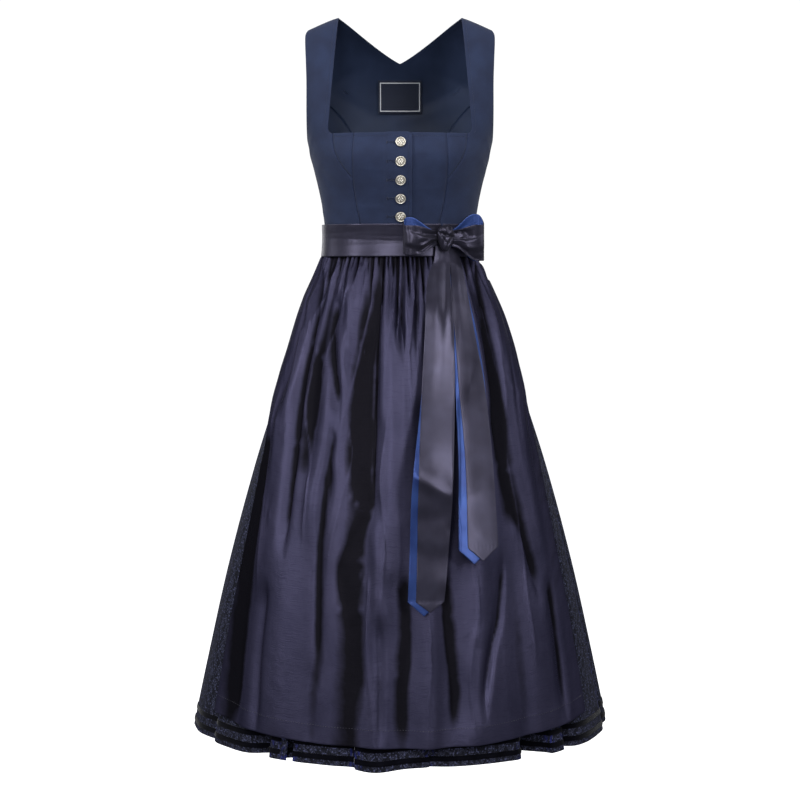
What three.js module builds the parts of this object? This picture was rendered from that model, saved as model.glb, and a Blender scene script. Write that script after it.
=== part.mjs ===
// Dirndl: a sleeveless bodice with a square front neck and a V back, a gathered skirt, a gathered apron
// and a satin sash tied in a bow at the wearer's left front. It keeps the hollow form of being worn.
//
// Millimetres, +Z up. The origin is midway between the two shoulder crests, where the wearer carries it.
// The front faces -Y and the wearer's left is +X. Angles run from front centre (0) through the wearer's
// left (90) to the back (180). Every piece of cloth is a wall with its outer face on a named surface.
import * as THREE from "three";

// ---- driving sizes ----
const SEAM_GAP = 0.3; // between two pieces that are sewn together
const BODICE_WALL = 2;
const SKIRT_WALL = 2;
const APRON_WALL = 1.2;
const RIBBON_WALL = 1;
const WAIST = -356; // height of the waist seam
const NECK_FRONT = -190; // height of the square neck's lower edge
const NECK_CORNER = 9; // radius of the square neck's corners
const NECK_HALF_TOP = 98.4; // neck half width at the shoulder crest
const NECK_HALF_LOW = 114.2; // neck half width just above the square corner
const NECK_BACK = -66; // height of the V's point at centre back
const NECK_BACK_CURVE = 0.88; // under 1, the V's edges hang a little hollow
const UNDERARM = -196;
const BUST_APEX = -261; // where the two front seams of a side meet
const BACK_SEAM_TOP = -110; // where the back seam leaves the armhole
const PLACKET_EDGE = 19; // the buttoned edge lies this far past front centre
const UNDERLAP = 14; // and the edge beneath lies this far the other way
const PLACKET_CORNER = 8; // radius of the buttoned edge's top corner
const PLACKET_LIFT = 2.9; // of the buttoned side over the underlap
const PLACKET_RAMP = { past: 14, wide: 12 }; // where the buttoned side starts to rise over the underlap
const BUTTON = { diameter: 16.4, thick: 3.4, rim: 1.9, boss: 4.4, across: 1 };
// Height of each button, and how far it stands off the placket's curve to clear its flat facets.
const BUTTONS = [
  { rise: -207, clear: 0.35 },
  { rise: -235, clear: -0.1 },
  { rise: -263, clear: 0.3 },
  { rise: -291, clear: 0.7 },
  { rise: -319, clear: 0.95 },
];
const LABEL = { width: 74, height: 54, middle: -117, thick: 0.8 };
const SHOULDER_SLOPE = 0.47;
const SQUARENESS = 2.2; // exponent of the bodice's oval sections
const SASH = { top: -331, foot: -382 };
const HEM = -1140;
const HEM_RIBBON = { width: 7.6, thick: 1, above: [8, 26.7] };
const APRON_TOP = -366;
const APRON_HEM = { middle: -1110, side: -1091 };
const APRON_CLEAR = 2.6; // between the skirt's outer reach and the apron's back face

// ---- tables ----
// Torso sections from the shoulder crest to the waist. The first row lies past the crest, so that the
// curve runs level over it.
const TORSO = [
  { rise: -4, half: 166, front: -17, back: -17 },
  { rise: 0, half: 166, front: 0, back: 0 },
  { rise: -4, half: 166, front: 17, back: 17 },
  { rise: -15, half: 166, front: 34, back: 36 },
  { rise: -35, half: 166, front: 52, back: 60 },
  { rise: -62, half: 166, front: 67, back: 82 },
  { rise: -102, half: 165.5, front: 86, back: 102 },
  { rise: -150, half: 162, front: 105, back: 110 },
  { rise: -196, half: 149.5, front: 121, back: 107 },
  { rise: -226, half: 143, front: 128, back: 101 },
  { rise: -262, half: 134, front: 120, back: 95 },
  { rise: -300, half: 126, front: 105, back: 91 },
  { rise: -331, half: 122, front: 95, back: 89 },
  { rise: -356, half: 120, front: 91, back: 88 },
  { rise: -381, half: 120, front: 91, back: 88 },
];
const CREST = 1; // index of the crest's row
const WAIST_ROW = 13;

// Seam lines: how far from the centre line a seam runs, by height.
const FRONT_SEAM = [
  { rise: -380, across: 52 },
  { rise: -356, across: 57.5 },
  { rise: -331, across: 62.5 },
  { rise: -300, across: 69 },
  { rise: -261, across: 74 },
  { rise: -225, across: 74.5 },
  { rise: -190, across: 72.5 },
  { rise: -170, across: 71 },
];
const CUP_SEAM = [
  { rise: -270, across: 68 },
  { rise: -261, across: 74.9 },
  { rise: -245, across: 88.5 },
  { rise: -229, across: 98.5 },
  { rise: -212, across: 104.5 },
  { rise: -190, across: 106 },
  { rise: -175, across: 106 },
];
const BACK_SEAM = [
  { rise: -380, across: 45 },
  { rise: -356, across: 46 },
  { rise: -320, across: 47 },
  { rise: -280, across: 52 },
  { rise: -240, across: 60 },
  { rise: -200, across: 73 },
  { rise: -170, across: 87 },
  { rise: -145, across: 105 },
  { rise: -125, across: 126 },
  { rise: -110, across: 148 },
  { rise: -100, across: 162 },
];
const ARMHOLE = [
  { rise: -240, across: 149 },
  { rise: -196, across: 149 },
  { rise: -150, across: 148.8 },
  { rise: -100, across: 149 },
  { rise: -60, across: 150.4 },
  { rise: -16, across: 152 },
  { rise: -6, across: 151 },
  { rise: 0, across: 148 },
  { rise: 20, across: 148 },
];

// Outer reach of the skirt, by height, with no fold in it.
const SKIRT = [
  { rise: -330, half: 119.6, front: 90.6, back: 87.6 },
  { rise: -356.4, half: 119.6, front: 90.6, back: 87.6 },
  { rise: -386, half: 120.4, front: 92, back: 91 },
  { rise: -428, half: 136, front: 111, back: 113 },
  { rise: -482, half: 158, front: 135, back: 142 },
  { rise: -587, half: 194.5, front: 173, back: 185 },
  { rise: -722, half: 238.5, front: 217, back: 229 },
  { rise: -878, half: 280.5, front: 256, back: 267 },
  { rise: -1028, half: 314.5, front: 289, back: 299 },
  { rise: -1140, half: 338, front: 309, back: 317 },
  { rise: -1240, half: 358, front: 327, back: 334 },
];

// The skirt's large folds at the hem, in order round the ring: the angle of the fold's outer edge, the
// way it leans (1 towards larger angles), its depth, how far it tucks back under its own edge, and the
// angle over which the cloth comes out again.
const SKIRT_FOLDS = [
  { edge: -158, lean: -1, deep: 46, tuck: 2.6, rise: 9 },
  { edge: -134, lean: -1, deep: 34, tuck: 1.6, rise: 9 },
  { edge: -109, lean: -1, deep: 50, tuck: 2.8, rise: 9 },
  { edge: -84, lean: -1, deep: 26, tuck: 0.6, rise: 9 },
  { edge: -59, lean: -1, deep: 12, tuck: -4, rise: 12 },
  { edge: -36.5, lean: -1, deep: 32, tuck: 1.6, rise: 7 },
  { edge: -29, lean: -1, deep: 26, tuck: 2.2, rise: 4.4 },
  { edge: -11.5, lean: -1, deep: 10, tuck: -0.5, rise: 5 },
  { edge: 6, lean: 1, deep: 8, tuck: -3, rise: 7 },
  { edge: 33.6, lean: 1, deep: 74, tuck: 5, rise: 9.5 },
  { edge: 49, lean: 1, deep: 26, tuck: 2, rise: 5 },
  { edge: 76, lean: 1, deep: 22, tuck: 0.6, rise: 9 },
  { edge: 101, lean: 1, deep: 44, tuck: 2.4, rise: 9 },
  { edge: 127, lean: 1, deep: 36, tuck: 1.8, rise: 9 },
  { edge: 152, lean: 1, deep: 50, tuck: 2.8, rise: 9 },
];
// Shape of one such fold: degrees past its edge, shares of its tuck and its rise, and share of its depth.
const FOLD_SHAPE = [
  { past: -6, tucks: 0, rises: 0, deep: 0 },
  { past: -1.2, tucks: 0, rises: 0, deep: 0 },
  { past: 0, tucks: 0, rises: 0, deep: 0.08 },
  { past: 0, tucks: -0.55, rises: 0, deep: 0.5 },
  { past: 0, tucks: -0.3, rises: 0, deep: 0.95 },
  { past: 0, tucks: 0, rises: 0.35, deep: 0.72 },
  { past: 0, tucks: 0, rises: 1, deep: 0.06 },
];
// A place where the hem hangs lower between two folds, and the height at which the dip begins.
const HEM_DIP = { angle: -6.5, wide: 6, deep: 8, from: -1040 };
const SKIRT_GATHERS = { count: 32, deep: 4.4, gone: -560 };

// Angle from front centre of the apron's two side edges, by height.
const APRON_EDGE = [
  { rise: -350, angle: 101 },
  { rise: -366, angle: 101 },
  { rise: -430, angle: 96 },
  { rise: -500, angle: 88 },
  { rise: -575, angle: 79 },
  { rise: -647, angle: 72 },
  { rise: -720, angle: 67 },
  { rise: -790, angle: 64.2 },
  { rise: -870, angle: 62.6 },
  { rise: -950, angle: 61.7 },
  { rise: -1085, angle: 60.3 },
  { rise: -1120, angle: 60 },
];

// The apron's gathers and folds as ridges: place across the apron at the sash, lower down and at the
// hem (-1 and 1 are its side edges), ridge height at each, ridge width as a share of the apron, and
// the height at which a short gather has died away.
const APRON_RIDGES = [
  { top: -0.97, mid: -0.975, hem: -0.97, high: [3, 5, 6], wide: 0.045, gone: 0 },
  { top: -0.89, mid: -0.9, hem: -0.88, high: [4, 5, 0], wide: 0.045, gone: -700 },
  { top: -0.81, mid: -0.83, hem: -0.8, high: [4, 7, 0], wide: 0.05, gone: -760 },
  { top: -0.73, mid: -0.76, hem: -0.74, high: [4, 6, 8], wide: 0.06, gone: 0 },
  { top: -0.65, mid: -0.69, hem: -0.66, high: [5, 12, 9], wide: 0.065, gone: 0 },
  { top: -0.58, mid: -0.61, hem: -0.6, high: [4, 4, 0], wide: 0.035, gone: -560 },
  { top: -0.5, mid: -0.58, hem: -0.58, high: [5, 5, 0], wide: 0.035, gone: -580 },
  { top: -0.4, mid: -0.5, hem: -0.5, high: [5, 4, 0], wide: 0.03, gone: -520 },
  { top: -0.34, mid: -0.375, hem: -0.38, high: [5, 12, 9], wide: 0.065, gone: 0 },
  { top: -0.277, mid: -0.3, hem: -0.3, high: [4, 4, 0], wide: 0.03, gone: -540 },
  { top: -0.2, mid: -0.25, hem: -0.25, high: [4, 4, 0], wide: 0.03, gone: -470 },
  { top: -0.087, mid: -0.085, hem: -0.1, high: [5, 13, 11], wide: 0.045, gone: 0 },
  { top: 0, mid: 0, hem: 0, high: [5, 11, 0], wide: 0.055, gone: -880 },
  { top: 0.067, mid: 0.1, hem: 0.11, high: [4, 10, 10], wide: 0.06, gone: 0 },
  { top: 0.14, mid: 0.16, hem: 0.16, high: [4, 4, 0], wide: 0.035, gone: -520 },
  { top: 0.22, mid: 0.27, hem: 0.31, high: [5, 9, 10], wide: 0.06, gone: 0 },
  { top: 0.3, mid: 0.36, hem: 0.36, high: [4, 4, 0], wide: 0.035, gone: -560 },
  { top: 0.38, mid: 0.42, hem: 0.41, high: [5, 9, 9], wide: 0.04, gone: 0 },
  { top: 0.47, mid: 0.53, hem: 0.5, high: [5, 9, 8], wide: 0.04, gone: 0 },
  { top: 0.56, mid: 0.64, hem: 0.64, high: [4, 4, 0], wide: 0.035, gone: -560 },
  { top: 0.65, mid: 0.73, hem: 0.76, high: [5, 10, 8], wide: 0.055, gone: 0 },
  { top: 0.74, mid: 0.82, hem: 0.84, high: [5, 9, 8], wide: 0.055, gone: 0 },
  { top: 0.83, mid: 0.88, hem: 0.9, high: [4, 5, 0], wide: 0.045, gone: -700 },
  { top: 0.91, mid: 0.93, hem: 0.93, high: [4, 4, 0], wide: 0.045, gone: -620 },
  { top: 0.97, mid: 0.975, hem: 0.97, high: [3, 4, 5], wide: 0.045, gone: 0 },
];

// Outer face of the sash.
const SASH_FORM = [
  { rise: -320, half: 126, front: 99.8, back: 92 },
  { rise: -331, half: 126, front: 99.8, back: 92 },
  { rise: -356, half: 125.6, front: 97.6, back: 91.6 },
  { rise: -382, half: 127.4, front: 99.4, back: 94.6 },
  { rise: -392, half: 128, front: 100, back: 95.4 },
];
// The bow sits on the sash: the knot's place, and its size across, up and out.
const KNOT = { across: 65.7, rise: -354, wide: 31, high: 40, deep: 13, out: 15.2 };
// A loop runs from the knot out to its tip and back in front: the share of its way to the tip, and the
// distance from the sash.
const LOOP_PATH = [
  { along: 0, out: 3.6 },
  { along: 0.16, out: 1.3 },
  { along: 0.42, out: 0.9 },
  { along: 0.78, out: 2.6 },
  { along: 0.95, out: 6 },
  { along: 1, out: 11.5 },
  { along: 0.94, out: 17.5 },
  { along: 0.74, out: 20 },
  { along: 0.36, out: 17 },
  { along: 0, out: 11.4 },
];
const BOW_LOOPS = [
  { side: "right", way: -1, start: 11.6, long: 67, bend: 200, pinch: 8, spread: 23, fall: 3, back: 26 },
  { side: "left", way: 1, start: 12, long: 71, bend: 400, pinch: 9, spread: 28.5, fall: 6.5, back: 34 },
];
// The bow's four ends, black over blue: distances across of their two edges by height, and the point
// each is cut to. Each lies a step further out than the one before.
const TAILS = [
  {
    name: "tail_left_blue",
    layer: 0,
    point: 22,
    edges: [
      { rise: -366, left: 70, right: 87 },
      { rise: -392, left: 82, right: 95 },
      { rise: -455, left: 80, right: 110 },
      { rise: -503, left: 82.5, right: 120 },
      { rise: -576, left: 84.5, right: 131 },
      { rise: -695, left: 88.6, right: 137 },
      { rise: -818, left: 87, right: 135 },
    ],
  },
  {
    name: "tail_left_black",
    layer: 1,
    point: 20,
    edges: [
      { rise: -366, left: 69, right: 88 },
      { rise: -392, left: 79, right: 97 },
      { rise: -423, left: 80, right: 103 },
      { rise: -463, left: 82, right: 110 },
      { rise: -511, left: 86, right: 118 },
      { rise: -577, left: 90, right: 130 },
      { rise: -690, left: 99, right: 140.8 },
      { rise: -816, left: 101.6, right: 147.7 },
    ],
  },
  {
    name: "tail_right_blue",
    layer: 2,
    point: 21,
    edges: [
      { rise: -366, left: 57, right: 75 },
      { rise: -392, left: 55, right: 78 },
      { rise: -455, left: 42, right: 81 },
      { rise: -540, left: 37, right: 82 },
      { rise: -609, left: 31, right: 80 },
      { rise: -726, left: 18, right: 68 },
      { rise: -836, left: 14, right: 64 },
      { rise: -895, left: 11.6, right: 60 },
    ],
  },
  {
    name: "tail_right_black",
    layer: 3,
    point: 16,
    edges: [
      { rise: -366, left: 56, right: 76 },
      { rise: -388, left: 53, right: 79 },
      { rise: -416, left: 43, right: 79 },
      { rise: -455, left: 39.7, right: 82 },
      { rise: -503, left: 37.9, right: 83.5 },
      { rise: -576, left: 33.6, right: 84 },
      { rise: -719, left: 27.7, right: 79.8 },
      { rise: -853, left: 25, right: 70.4 },
      { rise: -895, left: 23.7, right: 66 },
    ],
  },
];
const TAIL_GAP = 0.45; // between one layer and the next
const TAIL_OUT = [
  { rise: -360, out: 11.6 },
  { rise: -374, out: 11.6 },
  { rise: -392, out: 12 },
  { rise: -430, out: 18 },
  { rise: -480, out: 21 },
  { rise: -960, out: 21 },
];

// ---- small maths ----
const rad = THREE.MathUtils.degToRad;
const lerp = THREE.MathUtils.lerp;
const clamp01 = (x) => THREE.MathUtils.clamp(x, 0, 1);
const ease = (x) => THREE.MathUtils.smoothstep(x, 0, 1);

// Smooth value of one column of a table at x, with the rows in order of the column named by.
function track(rows, by, column) {
  const rising = rows[0][by] < rows[rows.length - 1][by];
  const knots = rising ? rows : [...rows].reverse();
  const slope = (i) => {
    const a = knots[Math.max(0, i - 1)];
    const b = knots[Math.min(knots.length - 1, i + 1)];
    return (b[column] - a[column]) / (b[by] - a[by]);
  };
  return (x) => {
    let i = 0;
    while (i < knots.length - 2 && x > knots[i + 1][by]) i += 1;
    const [a, b] = [knots[i], knots[i + 1]];
    const span = b[by] - a[by];
    const t = clamp01((x - a[by]) / span);
    const [t2, t3] = [t * t, t * t * t];
    return (
      (2 * t3 - 3 * t2 + 1) * a[column] +
      (t3 - 2 * t2 + t) * span * slope(i) +
      (3 * t2 - 2 * t3) * b[column] +
      (t3 - t2) * span * slope(i + 1)
    );
  };
}

// Root of a rising function between low and high.
function solve(f, low, high) {
  for (let i = 0; i < 40; i += 1) {
    const middle = (low + high) / 2;
    if (f(middle) < 0) low = middle;
    else high = middle;
  }
  return (low + high) / 2;
}

// Unit normal of a surface place(a, b), taken from its slopes over small steps, pointing out of side.
function normalOf(place, a, b, stepA, stepB, side) {
  const alongA = place(a + stepA, b).sub(place(a - stepA, b));
  const alongB = place(a, b + stepB).sub(place(a, b - stepB));
  return alongA.cross(alongB).normalize().multiplyScalar(side);
}

// A closed solid between two grids of points: outer and inner, each an array of rows.
function wall(outer, inner) {
  const rows = outer.length;
  const columns = outer[0].length;
  const points = [...outer.flat(), ...inner.flat()];
  const faces = [];
  const at = (layer, i, j) => layer * rows * columns + i * columns + j;
  const quad = (a, b, c, d) => faces.push(a, b, c, a, c, d);
  for (let i = 0; i + 1 < rows; i += 1) {
    for (let j = 0; j + 1 < columns; j += 1) {
      quad(at(0, i, j), at(0, i, j + 1), at(0, i + 1, j + 1), at(0, i + 1, j));
      faces.push(at(1, i, j), at(1, i + 1, j + 1), at(1, i, j + 1));
      faces.push(at(1, i, j), at(1, i + 1, j), at(1, i + 1, j + 1));
    }
    quad(at(0, i, 0), at(0, i + 1, 0), at(1, i + 1, 0), at(1, i, 0));
    quad(at(0, i + 1, columns - 1), at(0, i, columns - 1), at(1, i, columns - 1), at(1, i + 1, columns - 1));
  }
  for (let j = 0; j + 1 < columns; j += 1) {
    quad(at(0, 0, j + 1), at(0, 0, j), at(1, 0, j), at(1, 0, j + 1));
    quad(at(0, rows - 1, j), at(0, rows - 1, j + 1), at(1, rows - 1, j + 1), at(1, rows - 1, j));
  }
  let volume = 0;
  for (let k = 0; k < faces.length; k += 3) {
    const [a, b, c] = faces.slice(k, k + 3).map((index) => points[index]);
    volume += a.dot(b.clone().cross(c));
  }
  if (volume < 0) {
    for (let k = 0; k < faces.length; k += 3) [faces[k + 1], faces[k + 2]] = [faces[k + 2], faces[k + 1]];
  }
  const geometry = new THREE.BufferGeometry().setFromPoints(points);
  geometry.setIndex(faces);
  geometry.computeVertexNormals();
  return geometry;
}

// Cloth on a surface: place and its normal at the grid's cells, moved out to lift and in to lift - thick.
function cloth({ grid, place, normal, lift = 0, thick }) {
  const moved = (cell, out) => place(cell).addScaledVector(normal(cell), out);
  const layer = (out) => grid.map((row) => row.map((cell) => moved(cell, out(cell))));
  const top = (cell) => (typeof lift === "function" ? lift(cell) : lift);
  return wall(
    layer((cell) => top(cell)),
    layer((cell) => top(cell) - thick),
  );
}

const steps = (from, to, count) => Array.from({ length: count + 1 }, (_, i) => lerp(from, to, i / count));

// ---- materials ----
function finish(color, roughness, metalness = 0) {
  return new THREE.MeshStandardMaterial({ color, roughness, metalness });
}
const BODICE_CLOTH = finish(0x28324f, 0.85);
const SKIRT_CLOTH = finish(0x1b1d26, 0.9);
const VELVET = finish(0x07070d, 1);
const TAFFETA = finish(0x35334b, 0.45);
const BLACK_SATIN = finish(0x2b2a30, 0.35);
const BLUE_SATIN = finish(0x3550ac, 0.35);
const METAL = finish(0xb3ab93, 0.4, 0.9);
const LABEL_CLOTH = finish(0x1d2534, 0.8);

const dirndl = new THREE.Group();
function add(name, geometry, material) {
  const mesh = new THREE.Mesh(geometry, material);
  mesh.name = name;
  dirndl.add(mesh);
  return mesh;
}

// ---- bodice surface ----
const torsoRows = TORSO.map((row, index) => ({ ...row, index }));
const torso = Object.fromEntries(
  ["rise", "half", "front", "back"].map((column) => [column, track(torsoRows, "index", column)]),
);
const frontSeam = track(FRONT_SEAM, "rise", "across");
const cupSeam = track(CUP_SEAM, "rise", "across");
const backSeam = track(BACK_SEAM, "rise", "across");
const armhole = track(ARMHOLE, "rise", "across");

const levelAt = (rise) => solve((level) => rise - torso.rise(level), CREST, WAIST_ROW + 1);

// How far the crest has fallen at a distance from the centre line.
function shoulderFall(across) {
  const ramp = (x) => (Math.hypot(x - 95, 20) + x - 95) / 2;
  return SHOULDER_SLOPE * (ramp(across) - ramp(NECK_HALF_TOP));
}

// Fullness over the bust, to each side of front centre.
function bust(angle, rise) {
  const lobe = (centre) => Math.exp(-(((angle - centre) / 19) ** 2));
  return 8 * (lobe(34) + lobe(-34)) * Math.exp(-(((rise + 228) / 36) ** 2));
}

function onTorso(angle, level) {
  const [s, c] = [Math.sin(rad(angle)), Math.cos(rad(angle))];
  const power = 2 / SQUARENESS;
  const rise = torso.rise(level);
  const x = torso.half(level) * Math.sign(s) * Math.abs(s) ** power;
  const depth = c > 0 ? -torso.front(level) : torso.back(level);
  const y = depth * Math.abs(c) ** power - bust(angle, rise) * Math.max(0, c);
  const z = rise - shoulderFall(Math.abs(x)) * clamp01(1 + rise / -NECK_FRONT) ** 2;
  return new THREE.Vector3(x, y, z);
}

// Angle from the centre line at which a section reaches a distance across.
function angleAcross(across, level) {
  const share = Math.min(1, Math.abs(across) / torso.half(level)) ** (SQUARENESS / 2);
  return (Math.sign(across) * Math.asin(share) * 180) / Math.PI;
}

const torsoNormal = (cell) => normalOf(onTorso, cell.angle, cell.level, 0.2, -0.01, 1);

function bodicePiece(name, grid, lift = 0) {
  const place = (cell) => onTorso(cell.angle, cell.level);
  add(name, cloth({ grid, place, normal: torsoNormal, lift, thick: BODICE_WALL }), BODICE_CLOTH);
}

// A front panel between two lines across, over a range of heights. side is 1 for the wearer's left.
function frontGrid(rises, columns, left, right) {
  return rises.map((rise) => {
    const level = levelAt(rise);
    const [a, b] = [angleAcross(left(rise), level), angleAcross(right(rise), level)];
    return steps(a, b, columns).map((angle) => ({ angle, level }));
  });
}

const half = SEAM_GAP / 2;
const middleRises = [...steps(WAIST, BUST_APEX, 4), ...steps(BUST_APEX, NECK_FRONT, 4).slice(1)];

// The wearer's right front overlaps the left one: its edge rises over the underlap, and its top corner
// is rounded.
function placketGrid() {
  const edges = [-44, -29, -22, -UNDERLAP, -3, 8, 11.5, 14.5, 17, 18.4, PLACKET_EDGE];
  return middleRises.map((nominal, row) =>
    [-frontSeam(nominal) + half, ...edges].map((across) => {
      const past = Math.max(0, across - (PLACKET_EDGE - PLACKET_CORNER));
      const cut = PLACKET_CORNER - Math.sqrt(Math.max(0, PLACKET_CORNER ** 2 - past ** 2));
      const top = NECK_FRONT - cut;
      const rise = lerp(WAIST, top, (nominal - WAIST) / (NECK_FRONT - WAIST));
      const level = levelAt(row === 0 ? WAIST : rise);
      return { angle: angleAcross(across, level), level, across };
    }),
  );
}
function placketLift(cell) {
  return PLACKET_LIFT * ease((cell.across + UNDERLAP + PLACKET_RAMP.past) / PLACKET_RAMP.wide);
}
bodicePiece("front_right_placket", placketGrid(), placketLift);
bodicePiece(
  "front_left",
  middleRises.map((rise) => {
    const level = levelAt(rise);
    const edges = [-UNDERLAP, -3, 8, PLACKET_EDGE, 32, 48, frontSeam(rise) - half];
    return edges.map((across) => ({ angle: angleAcross(across, level), level }));
  }),
);

// Inner edge of the side front: seam, cup seam, then the neck's rounded corner and the strap.
function sideFrontInner(rise) {
  if (rise < BUST_APEX - 0.01) return frontSeam(rise) + half;
  if (rise <= NECK_FRONT) return cupSeam(rise) + half;
  const above = rise - NECK_FRONT;
  const strap = lerp(NECK_HALF_LOW, NECK_HALF_TOP, above / -NECK_FRONT);
  if (above >= NECK_CORNER) return strap;
  return strap - NECK_CORNER + Math.sqrt(NECK_CORNER ** 2 - (NECK_CORNER - above) ** 2);
}

const strapRises = [-150, -110, -75, -46, -24, -9, -2, -0.02];
const sideRises = [
  ...middleRises,
  ...steps(NECK_FRONT, NECK_FRONT + NECK_CORNER, 3).slice(1),
  -167,
  ...strapRises,
];

const armholeAngle = (rise, level) => (rise <= UNDERARM ? 90 : angleAcross(armhole(rise), level));
const seamAngle = (level) => (half / torso.half(level)) * (180 / Math.PI);

function sideFrontGrid(side) {
  return sideRises.map((rise) => {
    const level = levelAt(rise);
    const inner = angleAcross(sideFrontInner(rise), level);
    const outer = armholeAngle(rise, level) - (rise <= UNDERARM ? seamAngle(level) : 0);
    return steps(inner, outer, 6).map((angle) => ({ angle: side * angle, level }));
  });
}

const backRises = [...steps(WAIST, UNDERARM, 5), ...steps(UNDERARM, BACK_SEAM_TOP, 4).slice(1)];

function sideBackGrid(side) {
  return backRises.map((rise) => {
    const level = levelAt(rise);
    const inner = angleAcross(backSeam(rise) + SEAM_GAP, level);
    const outer = armholeAngle(rise, level) - (rise <= UNDERARM ? seamAngle(level) : 0);
    const angles = steps(inner, Math.max(inner + 0.4, outer), 5);
    return angles.map((angle) => ({ angle: side * (180 - angle), level }));
  });
}

// The centre back reaches from seam to seam and up over both straps, and is cut away in a V.
function centreBackGrid() {
  const strapShare = angleAcross(NECK_HALF_TOP, CREST) / angleAcross(armhole(0), CREST);
  const shares = [...steps(0, strapShare, 4), ...steps(strapShare, 1, 3).slice(1)];
  const edge = (level) => {
    const rise = torso.rise(level);
    return angleAcross(rise <= BACK_SEAM_TOP ? backSeam(rise) - half : armhole(rise), level);
  };
  const topLevel = (share) => {
    if (share >= strapShare) return levelAt(-0.02);
    const beyond = (level) =>
      onTorso(share * edge(level), level).x -
      NECK_HALF_TOP * Math.max(0, 1 - torso.rise(level) / NECK_BACK) ** NECK_BACK_CURVE;
    return solve(beyond, CREST, levelAt(NECK_BACK));
  };
  const columns = [...shares.slice(1).reverse().map((share) => -share), ...shares];
  const top = topLevel(1);
  const rises = [...backRises, -92, -70, -44, -24, -9, -2];
  const parts = [...rises.map((rise) => (WAIST_ROW - levelAt(rise)) / (WAIST_ROW - top)), 1];
  return parts.map((part) =>
    columns.map((share) => {
      const level = lerp(WAIST_ROW, topLevel(Math.abs(share)), part);
      return { angle: 180 - share * edge(level), level };
    }),
  );
}

for (const [name, side] of [
  ["left", 1],
  ["right", -1],
]) {
  bodicePiece(`front_side_${name}`, sideFrontGrid(side));
  bodicePiece(
    `front_cup_${name}`,
    frontGrid(
      steps(BUST_APEX, NECK_FRONT, 4),
      4,
      (rise) => side * (frontSeam(rise) + half),
      (rise) => side * (cupSeam(rise) - half),
    ),
  );
  bodicePiece(`back_side_${name}`, sideBackGrid(side));
}
bodicePiece("back_centre", centreBackGrid());

// ---- buttons and label ----
function buttonGeometry() {
  const { diameter, thick, rim, boss } = BUTTON;
  const outer = diameter / 2;
  const profile = [
    [0, 0],
    [outer - 1, 0],
    [outer, thick * 0.35],
    [outer - rim / 2, thick * 0.9],
    [outer - rim, thick * 0.6],
    [boss, thick * 0.6],
    [0, thick * 1.1],
  ];
  return new THREE.LatheGeometry(
    profile.map(([r, h]) => new THREE.Vector2(r, h)),
    12,
  );
}
BUTTONS.forEach(({ rise, clear }, index) => {
  const level = levelAt(rise);
  const cell = { angle: angleAcross(BUTTON.across, level), level };
  const normal = torsoNormal(cell);
  const button = add(`button_${index + 1}`, buttonGeometry(), METAL);
  button.position.copy(onTorso(cell.angle, level).addScaledVector(normal, PLACKET_LIFT + clear));
  button.quaternion.setFromUnitVectors(new THREE.Vector3(0, 1, 0), normal);
});

function labelGrid() {
  return steps(LABEL.middle - LABEL.height / 2, LABEL.middle + LABEL.height / 2, 3).map((rise) => {
    const level = levelAt(rise);
    return steps(-LABEL.width / 2, LABEL.width / 2, 6).map((across) => ({
      angle: 180 - angleAcross(across, level),
      level,
    }));
  });
}
add(
  "label",
  cloth({
    grid: labelGrid(),
    place: (cell) => onTorso(cell.angle, cell.level),
    normal: torsoNormal,
    lift: -BODICE_WALL - 3.2,
    thick: LABEL.thick,
  }),
  LABEL_CLOTH,
);

// ---- skirt ----
const skirt = Object.fromEntries(
  ["half", "front", "back"].map((column) => [column, track(SKIRT, "rise", column)]),
);

function onSkirtReach(angle, rise, out) {
  const [s, c] = [Math.sin(rad(angle)), Math.cos(rad(angle))];
  const depth = c > 0 ? skirt.front(rise) : skirt.back(rise);
  return new THREE.Vector3((skirt.half(rise) + out) * s, -(depth + out) * c, rise);
}

// The hem's ring as a closed curve of (angle, fold) points, in order round the skirt.
function hemRing() {
  const points = [];
  for (const { edge, lean, deep, tuck, rise } of SKIRT_FOLDS) {
    const fold = FOLD_SHAPE.map((spot) => [
      edge + lean * (spot.past + tuck * spot.tucks + rise * spot.rises),
      -deep * spot.deep,
    ]);
    points.push(...(lean > 0 ? fold : fold.reverse()));
  }
  const radius = 310; // makes an angle as long as it is at the hem, so that the curve's spacing is even
  const asPoint = ([angle, fold]) => new THREE.Vector3(rad(angle) * radius, fold, 0);
  const open = points.map(asPoint);
  const last = open[0].clone();
  last.x += rad(360) * radius;
  const curve = new THREE.CatmullRomCurve3([...open, last], false, "centripetal");
  curve.arcLengthDivisions = 1600;
  return (share) => {
    const spot = curve.getPointAt(clamp01(share));
    return { angle: (spot.x / radius) * (180 / Math.PI), fold: spot.y };
  };
}
const ring = hemRing();

const SKIRT_COLUMNS = 129;
// Less than the skirt is round at the waist, so that a side seam stays open in its gathers.
const SEAM_ROUND = 400;
const hemSpots = Array.from({ length: SKIRT_COLUMNS + 1 }, (_, j) => ring(j / SKIRT_COLUMNS));
const firstAngle = hemSpots[0].angle;

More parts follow.
